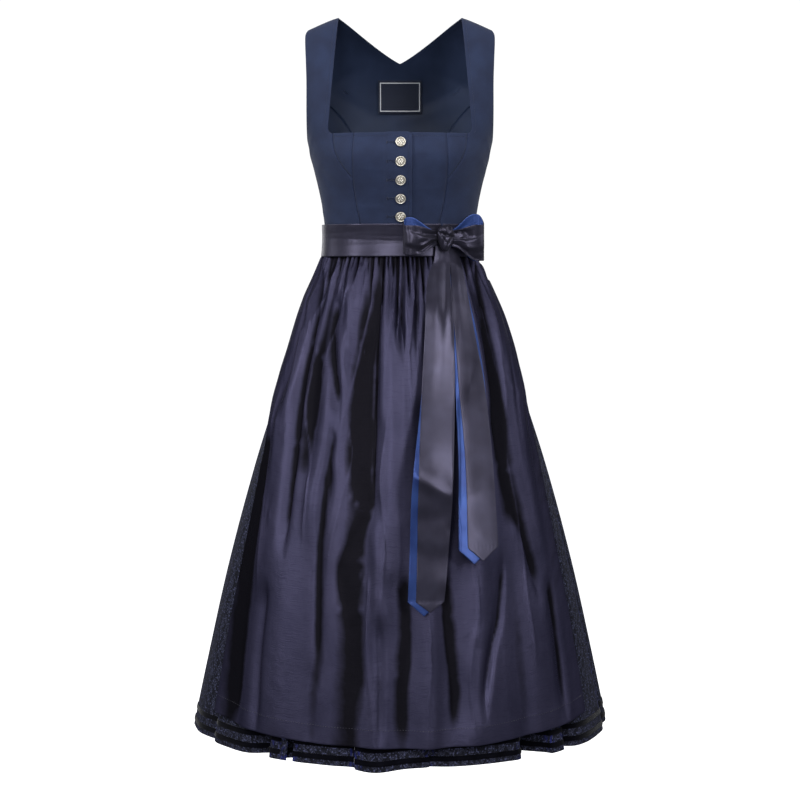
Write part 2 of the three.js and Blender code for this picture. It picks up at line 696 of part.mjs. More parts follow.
// Cloth of the skirt at a share round the ring and a height. Gathers at the waist run into the folds.
function onSkirt(share, rise) {
  const spot = ring(share);
  const down = clamp01((WAIST - rise) / (WAIST - HEM));
  const settle = ease(down / 0.8);
  const level = firstAngle + 360 * share;
  const angle = lerp(level, spot.angle, settle);
  const fade = clamp01((rise - SKIRT_GATHERS.gone) / (WAIST - SKIRT_GATHERS.gone));
  const shut = clamp01((WAIST - rise + 6) / 26); // gathers are pressed flat in the waist seam
  const wave = 0.5 - 0.5 * Math.cos(SKIRT_GATHERS.count * rad(level));
  const gather = -SKIRT_GATHERS.deep * fade * shut * wave;
  const dip = HEM_DIP.deep * Math.exp(-(((angle - HEM_DIP.angle) / HEM_DIP.wide) ** 2));
  const spread = onSkirtReach(angle, rise, spot.fold * down ** 1.15 + gather);
  return spread.setZ(rise - dip * clamp01((HEM_DIP.from - rise) / (HEM_DIP.from - HEM)));
}
const skirtNormal = (cell) => normalOf(onSkirt, cell.share, cell.rise, 0.0006, 0.5, 1);

const [ribbonLow, ribbonHigh] = HEM_RIBBON.above.map((above) => [
  HEM + above,
  HEM + above + HEM_RIBBON.width,
]);
const skirtRises = [WAIST - 0.5, -382, -408, -446, -500, -580, -690, -810, -930, -1040, HEM];
const shareAt = (angle) => {
  const j = hemSpots.findIndex((spot) => spot.angle > angle);
  return j / SKIRT_COLUMNS;
};
const sideSeams = [shareAt(-92), shareAt(90)];

function skirtShares(part) {
  const [right, left] = sideSeams.map((share) => Math.round(share * SKIRT_COLUMNS));
  const [from, to] = part === "front" ? [right, left] : [left, right + SKIRT_COLUMNS];
  const gap = SEAM_GAP / 2 / SEAM_ROUND;
  return Array.from({ length: to - from + 1 }, (_, k) => {
    const inset = k === 0 ? gap : k === to - from ? -gap : 0;
    return (((from + k) / SKIRT_COLUMNS + inset) % 1 + 1) % 1;
  });
}

function skirtPiece(name, part, rises, lift, thick, material) {
  const grid = rises.map((rise) => skirtShares(part).map((share) => ({ share, rise })));
  const place = (cell) => onSkirt(cell.share, cell.rise);
  add(name, cloth({ grid, place, normal: skirtNormal, lift, thick }), material);
}
for (const part of ["front", "back"]) {
  skirtPiece(`skirt_${part}`, part, skirtRises, 0, SKIRT_WALL, SKIRT_CLOTH);
  const lift = SEAM_GAP + HEM_RIBBON.thick;
  skirtPiece(`hem_ribbon_low_${part}`, part, ribbonLow, lift, HEM_RIBBON.thick, VELVET);
  skirtPiece(`hem_ribbon_high_${part}`, part, ribbonHigh, lift, HEM_RIBBON.thick, VELVET);
}

// ---- apron ----
const apronEdge = track(APRON_EDGE, "rise", "angle");
const apronFoot = (share) => lerp(APRON_HEM.middle, APRON_HEM.side, share * share);

function ridgeHeight(ridge, share, down, rise) {
  const fade = ridge.gone === 0 ? 1 : clamp01((rise - ridge.gone) / 90);
  const [upper, lower] = [ease(clamp01(down / 0.36)), ease(clamp01((down - 0.36) / 0.64))];
  const between = (top, mid, hem) => lerp(lerp(top, mid, upper), hem, lower);
  const place = between(ridge.top, ridge.mid, ridge.hem);
  const high = between(...ridge.high);
  const wide = ridge.wide * lerp(0.5, 1.15, ease(clamp01(down / 0.35)));
  return high * fade * Math.exp(-(((share - place) / wide) ** 2));
}

function onApron(share, down) {
  const foot = apronFoot(share);
  const rise = lerp(APRON_TOP, foot, down);
  const angle = share * apronEdge(rise);
  const pressed = clamp01((APRON_TOP - rise) / 40);
  let ridges = 0;
  for (const ridge of APRON_RIDGES) ridges += ridgeHeight(ridge, share, down, rise);
  const clear = lerp(0.6, APRON_CLEAR, pressed) + APRON_WALL;
  return onSkirtReach(angle, rise, clear + ridges * lerp(0.1, 1, pressed));
}
const apronNormal = (cell) => normalOf(onApron, cell.share, cell.down, 0.002, 0.002, -1);
const apronGrid = [0, 0.022, 0.05, 0.09, 0.15, 0.24, 0.36, 0.51, 0.67, 0.83, 1].map((down) =>
  steps(-1, 1, 80).map((share) => ({ share, down })),
);
add(
  "apron",
  cloth({
    grid: apronGrid,
    place: (cell) => onApron(cell.share, cell.down),
    normal: apronNormal,
    thick: APRON_WALL,
  }),
  TAFFETA,
);

// ---- sash ----
const sashForm = Object.fromEntries(
  ["half", "front", "back"].map((column) => [column, track(SASH_FORM, "rise", column)]),
);
function onSash(angle, rise) {
  const [s, c] = [Math.sin(rad(angle)), Math.cos(rad(angle))];
  const power = 2 / SQUARENESS;
  const depth = c > 0 ? -sashForm.front(rise) : sashForm.back(rise);
  const x = sashForm.half(rise) * Math.sign(s) * Math.abs(s) ** power;
  return new THREE.Vector3(x, depth * Math.abs(c) ** power, rise);
}
const knotAngle = solve((angle) => onSash(angle, KNOT.rise).x - KNOT.across, 1, 89);
add(
  "sash",
  cloth({
    grid: steps(SASH.foot, SASH.top, 2).map((rise) =>
      steps(knotAngle + 0.8, knotAngle + 359.2, 48).map((angle) => ({ angle, rise })),
    ),
    place: (cell) => onSash(cell.angle, cell.rise),
    normal: (cell) => normalOf(onSash, cell.angle, cell.rise, 0.3, 0.5, 1),
    thick: RIBBON_WALL + 0.2,
  }),
  BLACK_SATIN,
);

// ---- bow ----
const knotSpot = onSash(knotAngle, KNOT.rise);
const outward = normalOf(onSash, knotAngle, KNOT.rise, 0.3, 0.5, 1).setZ(0).normalize();
const alongSash = new THREE.Vector3(-outward.y, outward.x, 0);

const knotMesh = new THREE.SphereGeometry(0.5, 12, 8);
knotMesh.rotateX(Math.PI / 2);
const knot = add("bow_knot", knotMesh, BLACK_SATIN);
knot.scale.set(KNOT.wide, KNOT.deep, KNOT.high);
knot.position.copy(knotSpot).addScaledVector(outward, KNOT.out);
knot.rotation.z = Math.atan2(alongSash.y, alongSash.x);

for (const loop of BOW_LOOPS) {
  const path = new THREE.CatmullRomCurve3(
    LOOP_PATH.map(({ along, out }) => new THREE.Vector3(lerp(loop.start, loop.long, along), out, 0)),
    false,
    "centripetal",
  );
  const place = (along, up) => {
    const spot = path.getPoint(clamp01(along));
    const open = ease((spot.x - loop.start) / (loop.long - loop.start));
    const behind = 1 - ease((along - 0.35) / 0.3);
    const turn = spot.x / loop.bend;
    const middle = KNOT.rise - loop.fall * open + behind * loop.back * open * 0.5;
    const rise = middle + up * lerp(loop.pinch, loop.spread, open);
    return knotSpot
      .clone()
      .addScaledVector(alongSash, loop.way * loop.bend * Math.sin(turn))
      .addScaledVector(outward, spot.y - loop.bend * (1 - Math.cos(turn)))
      .setZ(rise);
  };
  const normal = (cell) => normalOf(place, cell.along, cell.up, 0.004, 0.02, -loop.way);
  for (const [color, lift, material] of [
    ["black", 0, BLACK_SATIN],
    ["blue", -RIBBON_WALL - 0.5, BLUE_SATIN],
  ]) {
    const grid = steps(-1, 1, 2).map((up) => steps(0.004, 0.996, 14).map((along) => ({ along, up })));
    const loopGeometry = cloth({
      grid,
      place: (cell) => place(cell.along, cell.up),
      normal,
      lift,
      thick: RIBBON_WALL,
    });
    add(`bow_${loop.side}_${color}`, loopGeometry, material);
  }
}

const tailOut = track(TAIL_OUT, "rise", "out");
for (const tail of TAILS) {
  const [leftEdge, rightEdge] = ["left", "right"].map((column) => track(tail.edges, "rise", column));
  const top = tail.edges[0].rise;
  const foot = tail.edges[tail.edges.length - 1].rise;
  const place = (across, rise) => {
    const out = tailOut(rise) + tail.layer * (RIBBON_WALL + TAIL_GAP) + RIBBON_WALL;
    const angle = (Math.asin(across / (skirt.half(rise) + out)) * 180) / Math.PI;
    return onSkirtReach(angle, rise, out);
  };
  const grid = steps(0, 1, 9).map((down) =>
    steps(0, 1, 4).map((share) => {
      const nominal = lerp(top, foot, down);
      const rise = nominal - tail.point * down ** 4 * (1 - Math.abs(2 * share - 1));
      return { across: lerp(leftEdge(nominal), rightEdge(nominal), share), rise };
    }),
  );
  add(
    tail.name,
    cloth({
      grid,
      place: (cell) => place(cell.across, cell.rise),
      normal: (cell) => normalOf(place, cell.across, cell.rise, 0.5, 0.5, 1),
      thick: RIBBON_WALL,
    }),
    tail.name.endsWith("blue") ? BLUE_SATIN : BLACK_SATIN,
  );
}

export default dirndl;
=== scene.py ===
import math

import bpy
import numpy as np
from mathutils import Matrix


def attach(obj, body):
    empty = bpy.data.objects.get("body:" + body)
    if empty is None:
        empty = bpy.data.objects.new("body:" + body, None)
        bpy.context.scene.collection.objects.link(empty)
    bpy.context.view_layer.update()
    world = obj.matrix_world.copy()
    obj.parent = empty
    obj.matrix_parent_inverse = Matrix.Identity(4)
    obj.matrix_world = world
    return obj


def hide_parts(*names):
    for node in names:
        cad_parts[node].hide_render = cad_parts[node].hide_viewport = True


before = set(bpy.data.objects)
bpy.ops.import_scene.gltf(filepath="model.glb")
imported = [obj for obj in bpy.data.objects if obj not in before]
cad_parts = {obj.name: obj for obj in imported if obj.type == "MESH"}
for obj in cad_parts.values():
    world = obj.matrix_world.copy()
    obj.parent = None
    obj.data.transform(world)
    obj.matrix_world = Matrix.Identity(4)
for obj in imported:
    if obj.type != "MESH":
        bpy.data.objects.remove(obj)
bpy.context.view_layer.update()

# A dirndl that keeps the hollow form of being worn. Sizes are millimetres and meshes are metres.
# Angles run from front centre (0) through the wearer's left (90) to the back (180).
MM = 0.001

# ---- driving sizes ----
SEAM_GAP = 0.02  # sewn seams close up
RIBBON_CLEAR = 0.3
BODICE_WALL = 2.0
SKIRT_WALL = 2.0
APRON_WALL = 1.2
RIBBON_WALL = 1.0
WAIST = -356.0
NECK_FRONT = -190.0
NECK_CORNER = 9.0
NECK_HALF_TOP = 98.4
NECK_HALF_LOW = 114.2
NECK_BACK = -66.0
NECK_BACK_CURVE = 0.88
UNDERARM = -196.0
BUST_APEX = -261.0
BACK_SEAM_TOP = -110.0
PLACKET_EDGE = 19.0
UNDERLAP = 14.0
PLACKET_LIFT = 2.9
PLACKET_CORNER = 8.0
SHOULDER_SLOPE = 0.47
SQUARENESS = 2.2
SASH_TOP, SASH_FOOT = -331.0, -382.0
HEM = -1140.0
RIBBON_WIDTH = 7.6
RIBBON_THICK = 1.0
RIBBONS_ABOVE_HEM = {"low": 8.0, "high": 26.7}
APRON_TOP = -366.0
APRON_FOOT_MIDDLE, APRON_FOOT_SIDE = -1110.0, -1091.0
APRON_CLEAR = 2.6
# Rows of the torso table at the shoulder's crest and at the waist.
CREST = 1
WAIST_ROW = 13


def table(columns, *rows):
    """A table with named columns, as {name: array}."""
    return {name: np.array([row[i] for row in rows], float) for i, name in enumerate(columns.split())}


# Torso sections from just behind the shoulder crest down to the waist.
TORSO = table(
    "rise half front back",
    (-4, 166, -17, -17),
    (0, 166, 0, 0),
    (-4, 166, 17, 17),
    (-15, 166, 34, 36),
    (-35, 166, 52, 60),
    (-62, 166, 67, 82),
    (-102, 165.5, 86, 102),
    (-150, 162, 105, 110),
    (-196, 149.5, 121, 107),
    (-226, 143, 128, 101),
    (-262, 134, 120, 95),
    (-300, 126, 105, 91),
    (-331, 122, 95, 89),
    (-356, 120, 91, 88),
    (-381, 120, 91, 88),
)
TORSO["index"] = np.arange(len(TORSO["rise"]), dtype=float)
FRONT_SEAM = table(
    "rise across",
    (-380, 52), (-356, 57.5), (-331, 62.5), (-300, 69), (-261, 74), (-225, 74.5), (-190, 72.5),
    (-170, 71),
)
CUP_SEAM = table(
    "rise across",
    (-270, 68), (-261, 74.9), (-245, 88.5), (-229, 98.5), (-212, 104.5), (-190, 106), (-175, 106),
)
BACK_SEAM = table(
    "rise across",
    (-380, 45), (-356, 46), (-320, 47), (-280, 52), (-240, 60), (-200, 73), (-170, 87), (-145, 105),
    (-125, 126), (-110, 148), (-100, 162),
)
ARMHOLE = table(
    "rise across",
    (-240, 149), (-196, 149), (-150, 148.8), (-100, 149), (-60, 150.4), (-16, 152), (-6, 151), (0, 148),
    (20, 148),
)
SKIRT = table(
    "rise half front back",
    (-330, 119.6, 90.6, 87.6),
    (-356.4, 119.6, 90.6, 87.6),
    (-386, 120.4, 92, 91),
    (-428, 136, 111, 113),
    (-482, 158, 135, 142),
    (-587, 194.5, 173, 185),
    (-722, 238.5, 217, 229),
    (-878, 280.5, 256, 267),
    (-1028, 314.5, 289, 299),
    (-1140, 338, 309, 317),
    (-1240, 358, 327, 334),
)
# The skirt's folds at the hem: angle of the outer edge, lean, depth, tuck and the angle of its way out.
SKIRT_FOLDS = (
    (-158, -1, 46, 2.6, 9),
    (-134, -1, 34, 1.6, 9),
    (-109, -1, 50, 2.8, 9),
    (-84, -1, 26, 0.6, 9),
    (-59, -1, 12, -4, 12),
    (-36.5, -1, 32, 1.6, 7),
    (-29, -1, 26, 2.2, 4.4),
    (-11.5, -1, 10, -0.5, 5),
    (6, 1, 8, -3, 7),
    (33.6, 1, 74, 5, 9.5),
    (49, 1, 26, 2, 5),
    (76, 1, 22, 0.6, 9),
    (101, 1, 44, 2.4, 9),
    (127, 1, 36, 1.8, 9),
    (152, 1, 50, 2.8, 9),
)
HEM_DIP = {"angle": -6.5, "wide": 6.0, "deep": 8.0, "from": -1040.0}
SKIRT_GATHERS = {"count": 32, "deep": 4.4, "gone": -560.0}
SKIRT_COLUMNS = 129
SEAM_ROUND = 400.0

APRON_EDGE = table(
    "rise angle",
    (-350, 101), (-366, 101), (-430, 96), (-500, 88), (-575, 79), (-647, 72), (-720, 67), (-790, 64.2),
    (-870, 62.6), (-950, 61.7), (-1085, 60.3), (-1120, 60),
)
# Apron ridges: place at the sash, lower down and at the hem (-1 and 1 are the side edges), height at
# each, width as a share of the apron, and where a short gather has died away (0: it runs to the hem).
APRON_RIDGES = (
    (-0.97, -0.975, -0.97, 3, 5, 6, 0.045, 0),
    (-0.89, -0.9, -0.88, 4, 5, 0, 0.045, -700),
    (-0.81, -0.83, -0.8, 4, 7, 0, 0.05, -760),
    (-0.73, -0.76, -0.74, 4, 6, 8, 0.06, 0),
    (-0.65, -0.69, -0.66, 5, 12, 9, 0.065, 0),
    (-0.58, -0.61, -0.6, 4, 4, 0, 0.035, -560),
    (-0.5, -0.58, -0.58, 5, 5, 0, 0.035, -580),
    (-0.4, -0.5, -0.5, 5, 4, 0, 0.03, -520),
    (-0.34, -0.375, -0.38, 5, 12, 9, 0.065, 0),
    (-0.277, -0.3, -0.3, 4, 4, 0, 0.03, -540),
    (-0.2, -0.25, -0.25, 4, 4, 0, 0.03, -470),
    (-0.087, -0.085, -0.1, 5, 13, 11, 0.045, 0),
    (0, 0, 0, 5, 11, 0, 0.055, -880),
    (0.067, 0.1, 0.11, 4, 10, 10, 0.06, 0),
    (0.14, 0.16, 0.16, 4, 4, 0, 0.035, -520),
    (0.22, 0.27, 0.31, 5, 9, 10, 0.06, 0),
    (0.3, 0.36, 0.36, 4, 4, 0, 0.035, -560),
    (0.38, 0.42, 0.41, 5, 9, 9, 0.04, 0),
    (0.47, 0.53, 0.5, 5, 9, 8, 0.04, 0),
    (0.56, 0.64, 0.64, 4, 4, 0, 0.035, -560),
    (0.65, 0.73, 0.76, 5, 10, 8, 0.055, 0),
    (0.74, 0.82, 0.84, 5, 9, 8, 0.055, 0),
    (0.83, 0.88, 0.9, 4, 5, 0, 0.045, -700),
    (0.91, 0.93, 0.93, 4, 4, 0, 0.045, -620),
    (0.97, 0.975, 0.97, 3, 4, 5, 0.045, 0),
)
SASH_FORM = table(
    "rise half front back",
    (-320, 126, 99.8, 92), (-331, 126, 99.8, 92), (-356, 125.6, 97.6, 91.6), (-382, 127.4, 99.4, 94.6),
    (-392, 128, 100, 95.4),
)
KNOT = {"across": 65.7, "rise": -354.0, "wide": 31.0, "high": 40.0, "deep": 13.0, "out": 15.2}
# A loop's way out from the knot and back: share of its length, and how far off the sash.
LOOP_PATH = (
    (0, 3.6), (0.16, 1.3), (0.42, 0.9), (0.78, 2.6), (0.95, 6), (1, 11.5), (0.94, 17.5), (0.74, 20),
    (0.36, 17), (0, 11.4),
)
LOOPS = {
    "right": {
        "way": -1, "start": 11.6, "long": 67.0, "bend": 200.0, "pinch": 8.0, "spread": 23.0, "fall": 3.0,
        "back": 26.0,
    },
    "left": {
        "way": 1, "start": 12.0, "long": 71.0, "bend": 400.0, "pinch": 9.0, "spread": 28.5, "fall": 6.5,
        "back": 34.0,
    },
}
# The bow's four ends: layer, depth of the point, and both edges by height.
TAILS = {
    "tail_left_blue": (0, 22, table(
        "rise left right",
        (-366, 70, 87), (-392, 82, 95), (-455, 80, 110), (-503, 82.5, 120), (-576, 84.5, 131),
        (-695, 88.6, 137), (-818, 87, 135),
    )),
    "tail_left_black": (1, 20, table(
        "rise left right",
        (-366, 69, 88), (-392, 79, 97), (-423, 80, 103), (-463, 82, 110), (-511, 86, 118),
        (-577, 90, 130), (-690, 99, 140.8), (-816, 101.6, 147.7),
    )),
    "tail_right_blue": (2, 21, table(
        "rise left right",
        (-366, 57, 75), (-392, 55, 78), (-455, 42, 81), (-540, 37, 82), (-609, 31, 80), (-726, 18, 68),
        (-836, 14, 64), (-895, 11.6, 60),
    )),
    "tail_right_black": (3, 16, table(
        "rise left right",
        (-366, 56, 76), (-388, 53, 79), (-416, 43, 79), (-455, 39.7, 82), (-503, 37.9, 83.5),
        (-576, 33.6, 84), (-719, 27.7, 79.8), (-853, 25, 70.4), (-895, 23.7, 66),
    )),
}
TAIL_GAP = 0.45
TAIL_OUT = table("rise out", (-360, 11.6), (-374, 11.6), (-392, 12), (-430, 18), (-480, 21), (-960, 21))
BUTTON = {"diameter": 16.4, "rim": 1.9, "across": 1.0, "body": 1.75, "relief": 1.15, "dome": 0.55}
# Each button's height, and how far it stands off the placket.
BUTTON_RISES = ((-207, 0.35), (-235, -0.1), (-263, 0.3), (-291, 0.7), (-319, 0.95))
LABEL = {"width": 74.0, "height": 54.0, "middle": -117.0, "thick": 0.8, "inside": 3.2}


# ---- small maths ----
def ease(x):
    """From 0 to 1 with a soft start and end."""
    x = np.clip(x, 0, 1)
    return x * x * (3 - 2 * x)


def lerp(a, b, t):
    return a + (b - a) * t


def bell(x, wide):
    """1 at the middle, falling away softly to both sides."""
    return np.exp(-((x / wide) ** 2))


def track(rows, by, column):
    """The smooth value of one column of a table, by another."""
    order = np.argsort(rows[by])
    x, y = rows[by][order], rows[column][order]
    last = len(x) - 1
    before = np.maximum(np.arange(last + 1) - 1, 0)
    after = np.minimum(np.arange(last + 1) + 1, last)
    slope = (y[after] - y[before]) / (x[after] - x[before])

    def value(at):
        at = np.asarray(at, float)
        i = np.clip(np.searchsorted(x, at, side="left") - 1, 0, last - 1)
        span = x[i + 1] - x[i]
        t = np.clip((at - x[i]) / span, 0, 1)
        t2, t3 = t * t, t * t * t
        return (
            (2 * t3 - 3 * t2 + 1) * y[i]
            + (t3 - 2 * t2 + t) * span * slope[i]
            + (3 * t2 - 2 * t3) * y[i + 1]
            + (t3 - t2) * span * slope[i + 1]
        )

    return value


def solve(f, low, high):
    """Root of a rising function, for numbers or arrays."""
    for _ in range(40):
        middle = (low + high) / 2
        below = f(middle) < 0
        low, high = np.where(below, middle, low), np.where(below, high, middle)
    return (low + high) / 2


def stack(x, y, z):
    return np.stack(np.broadcast_arrays(x, y, z), -1).astype(float)


def normal_of(place, a, b, step_a, step_b, side):
    """Unit normals of a surface at a and b, from small steps along both."""
    along_a = place(a + step_a, b) - place(a - step_a, b)
    along_b = place(a, b + step_b) - place(a, b - step_b)
    normal = np.cross(along_a, along_b)
    return side * normal / np.maximum(np.linalg.norm(normal, axis=-1, keepdims=True), 1e-9)


def catmull(points, at):
    """A centripetal Catmull-Rom curve through points, at shares of its way."""
    points = np.asarray(points, float)
    last = len(points) - 1
    padded = np.vstack([2 * points[0] - points[1], points, 2 * points[-1] - points[-2]])
    at = np.clip(np.asarray(at, float), 0, 1) * last
    i = np.minimum(at.astype(int), last - 1)
    t = (at - i)[..., None]
    p0, p1, p2, p3 = (padded[i + k] for k in range(4))

    def gap(p, q):
        return np.maximum(np.sum((p - q) ** 2, -1, keepdims=True) ** 0.25, 1e-9)

    d0, d1, d2 = gap(p0, p1), gap(p1, p2), gap(p2, p3)
    start = ((p1 - p0) / d0 - (p2 - p0) / (d0 + d1) + (p2 - p1) / d1) * d1
    end = ((p2 - p1) / d1 - (p3 - p1) / (d1 + d2) + (p3 - p2) / d2) * d1
    squared = 3 * (p2 - p1) - 2 * start - end
    cubed = 2 * (p1 - p2) + start + end
    return p1 + start * t + squared * t**2 + cubed * t**3


# How far the first points lie from an edge, in millimetres: on ribbons, and on the skirt.
THIN_EDGE = (0, 0.6, 1.4)
SKIRT_EDGE = (0, 1, 2.4, 4.2)


def spaced(length, count, edges=(0, 0.8, 1.8, 3, 4.6)):
    """Shares of a length, closer together near both ends so that an edge can be rounded."""
    near = np.array(edges) / length
    return np.concatenate([near, np.linspace(near[-1], 1 - near[-1], count)[1:-1], 1 - near[::-1]])


# ---- shader words ----
class Value:
    """A shader value. Python's operators on it add Math nodes."""

    def __init__(self, tree, link):
        self.tree, self.link = tree, link

    def join(self, operation, other, flipped=False):
        node = self.tree.nodes.new("ShaderNodeMath")
        node.operation = operation
        for into, value in zip(node.inputs, (other, self) if flipped else (self, other)):
            feed(self.tree, into, value)
        return Value(self.tree, node.outputs[0])

    def __add__(self, other):
        return self.join("ADD", other)

    def __radd__(self, other):
        return self.join("ADD", other, True)

    def __sub__(self, other):
        return self.join("SUBTRACT", other)

    def __rsub__(self, other):
        return self.join("SUBTRACT", other, True)

    def __mul__(self, other):
        return self.join("MULTIPLY", other)

    def __rmul__(self, other):
        return self.join("MULTIPLY", other, True)


def feed(tree, into, value):
    """Links a shader value to a socket, or sets a plain one on it."""
    if isinstance(value, Value):
        tree.links.new(value.link, into)
    else:
        into.default_value = value


def srgb(red, green, blue):
    """A colour given as seen on a screen, 0 to 255, as the shader's linear one."""

    def linear(channel):
        share = channel / 255
        return share / 12.92 if channel <= 10 else ((share + 0.055) / 1.055) ** 2.4

    return (linear(red), linear(green), linear(blue), 1.0)


class Finish:
    """A material with one Principled shader. constants are set straight on its sockets."""

    def __init__(self, name, **constants):
        self.material = bpy.data.materials.new(name)
        self.material.use_nodes = True
        self.tree = self.material.node_tree
        self.shader = self.tree.nodes["Principled BSDF"]
        for socket, value in constants.items():
            self.shader.inputs[socket.replace("_", " ")].default_value = value

    def node(self, kind, settings=None, inputs=None, output=0):
        """Any node: its settings first, then the values or links of its sockets."""
        made = self.tree.nodes.new("ShaderNode" + kind)
        for name, value in (settings or {}).items():
            setattr(made, name, value)
        for name, value in (inputs or {}).items():
            feed(self.tree, made.inputs[name], value)
        return Value(self.tree, made.outputs[output])

    def give(self, **sockets):
        """Sets or links sockets of the shader."""
        for socket, value in sockets.items():
            feed(self.tree, self.shader.inputs[socket.replace("_", " ")], value)

    def mix(self, factor, a, b):
        """From colour a to colour b."""
        made = self.tree.nodes.new("ShaderNodeMix")
        made.data_type = "RGBA"
        for index, value in ((0, factor), (6, a), (7, b)):
            feed(self.tree, made.inputs[index], value)
        return Value(self.tree, made.outputs[2])

    def place(self, stretch=(1, 1, 1), turn=0.0, cloth=True):
        """Where on the cloth a point lies, in metres, or its place in space."""
        if cloth:
            spot = self.node("UVMap", {"uv_map": "cloth"})
        else:
            spot = self.node("TexCoord", output="Object")
        inputs = {"Vector": spot, "Scale": stretch, "Rotation": (0.0, 0.0, turn)}
        return self.node("Mapping", inputs=inputs)

    def noise(self, spot, scale, detail=2.0, rough=0.5):
        inputs = {"Vector": spot, "Scale": scale, "Detail": detail, "Roughness": rough}
        return self.node("TexNoise", inputs=inputs)

    def band(self, value, low, high):
        """0 below low, 1 above high, and a straight rise between."""
        inputs = {"Value": value, "From Min": low, "From Max": high}
        return self.node("MapRange", {"clamp": True}, inputs)

    def bump(self, height, strength, deep):
        """A bump of a height from 0 to 1, deep metres high."""
        inputs = {"Height": height, "Strength": strength, "Distance": deep}
        self.give(Normal=self.node("Bump", inputs=inputs))

    def along(self, attribute):
        """A number that the mesh keeps at each point."""
        return self.node("Attribute", {"attribute_name": attribute}, output="Fac")


# ---- finishes ----
def worsted():
    """Fine navy twill, matt, with a mixed thread."""
    finish = Finish("navy worsted", Sheen_Weight=0.08, Sheen_Roughness=0.5, Specular_IOR_Level=0.25)
    spot = finish.place()
    thread = finish.noise(spot, 900, 2.0)
    cloud = finish.noise(spot, 28, 3.0)
    mixed = finish.mix(finish.band(thread, 0.3, 0.7), srgb(34, 44, 71), srgb(51, 63, 95))
    finish.give(
        Base_Color=finish.mix(finish.band(cloud, 0.3, 0.72), mixed, srgb(37, 45, 71)),
        Roughness=0.82 + (thread - 0.5) * 0.12,
    )
    twill = finish.node(
        "TexWave", {"wave_type": "BANDS", "bands_direction": "DIAGONAL"},
        {"Vector": spot, "Scale": 260.0, "Distortion": 1.6, "Detail": 1.0}, "Fac",
    )
    finish.bump(twill * 0.6 + thread * 0.6, 0.35, 0.00025)
    return finish.material


def lining():
    """Smooth navy lining cloth."""
    finish = Finish("navy lining", Sheen_Weight=0.05, Sheen_Roughness=0.4, Specular_IOR_Level=0.2)
    spot = finish.place()
    cloud = finish.noise(spot, 9, 3.0)
    thread = finish.noise(finish.place((1, 6, 1)), 420, 1.0)
    finish.give(
        Base_Color=finish.mix(finish.band(cloud, 0.3, 0.7), srgb(27, 37, 58), srgb(40, 51, 77)),
        Roughness=0.55 + (cloud - 0.5) * 0.2,
    )
    finish.bump(thread, 0.2, 0.00015)
    return finish.material


def figured_cotton():
    """Near-black figured skirt cloth: small leaves, a pale fleck, and the blue warp painted in as a sheen
    along the fold edges.
    """
    finish = Finish(
        "figured skirt cloth", Sheen_Weight=0.015, Sheen_Roughness=0.5, Specular_IOR_Level=0.06
    )
    spot = finish.place()
    fleck = finish.noise(spot, 620, 1.5, 0.6)
    spark = finish.noise(spot, 330, 0.0)
    wander = finish.noise(spot, 30, 1.0, 0.5)

    def leaves(feature, turn):
        inputs = {"Vector": finish.place((1, 0.55, 1), turn), "Scale": 75.0, "Randomness": 0.35}
        return finish.node("TexVoronoi", {"feature": feature, "voronoi_dimensions": "2D"}, inputs)

    leaf, vein = leaves("F1", 0.6), leaves("DISTANCE_TO_EDGE", -0.6)
    figure = finish.band(leaf + wander * 0.2, 0.36, 0.5) * finish.band(vein, 0.02, 0.09)
    ground = finish.mix(finish.band(fleck, 0.42, 0.66), srgb(27, 28, 38), srgb(68, 70, 90))
    cloth = finish.mix(figure * 0.7, ground, srgb(9, 9, 13))
    flecked = finish.mix(finish.band(spark, 0.64, 0.7) * 0.6, cloth, srgb(92, 96, 130))
    streaks = finish.noise(finish.place((1, 0.35, 1)), 240, 1.0)
    # Painted sheen: the blue warp is the cloth's own, but its blue is painted only along the sharp fold
    # edges, where the light catches it.
    blue = finish.band(streaks, 0.5, 0.62) * finish.along("fold_edge_sheen")
    finish.give(
        Base_Color=finish.mix(blue * 0.8, flecked, srgb(38, 44, 116)),
        Roughness=0.78 - figure * 0.16,
    )
    finish.bump(figure * 0.6 + fleck * 0.6, 0.5, 0.0004)
    return finish.material


def velvet():
    """Black velvet with a crushed pile."""
    finish = Finish("black velvet", Sheen_Weight=0.3, Sheen_Roughness=0.35, Specular_IOR_Level=0.05)
    spot = finish.place()
    pile = finish.noise(spot, 700, 2.0)
    crush = finish.noise(spot, 45, 2.0)
    finish.give(
        Base_Color=finish.mix(finish.band(crush, 0.35, 0.7), srgb(4, 4, 9), srgb(11, 11, 20)),
        Roughness=0.95 - crush * 0.05,
    )
    finish.bump(pile, 0.6, 0.0005)
    return finish.material


def taffeta():
    """Dark violet taffeta: crosswise slubs, crisp fine crumples, a metallic sheen, and painted shade in
    its fold hollows.
    """
    finish = Finish(
        "violet taffeta", Specular_IOR_Level=0.15, Specular_Tint=(0.2, 0.2, 0.24, 1), Anisotropic=0.3
    )
    slub = finish.noise(finish.place((0.06, 1, 1)), 620, 2.0, 0.6)
    ribs = finish.noise(finish.place((0.3, 1, 1)), 1500, 0.0)
    crumple = finish.noise(finish.place((1, 0.45, 1)), 16, 3.0, 0.55)
    tone = finish.mix(finish.band(crumple, 0.3, 0.75), srgb(57, 56, 77), srgb(71, 69, 92))
    slubbed = finish.mix(finish.band(slub, 0.55, 0.75) * 0.5, tone, srgb(44, 42, 64))
    crinkle = finish.noise(finish.place((1, 0.7, 1)), 55, 2.0, 0.5)
    # Painted shade: the mesh's hollow number darkens the colour towards srgb(23, 22, 26) deep in the
    # folds and just under the sash.
    hollow = finish.along("hollow")
    shaded = finish.band(hollow + (crumple - 0.5) * 0.35 + (crinkle - 0.5) * 0.3, 0.42, 0.82)
    finish.give(
        Base_Color=finish.mix(shaded * 0.95, slubbed, srgb(23, 22, 26)),
        Metallic=0.85,
        Roughness=0.45 + hollow * 0.18 + (slub - 0.5) * 0.14,
    )
    finish.bump(slub * 0.3 + ribs * 0.08 + crumple * 0.8 + crinkle * 0.7, 0.45, 0.0016)
    return finish.material


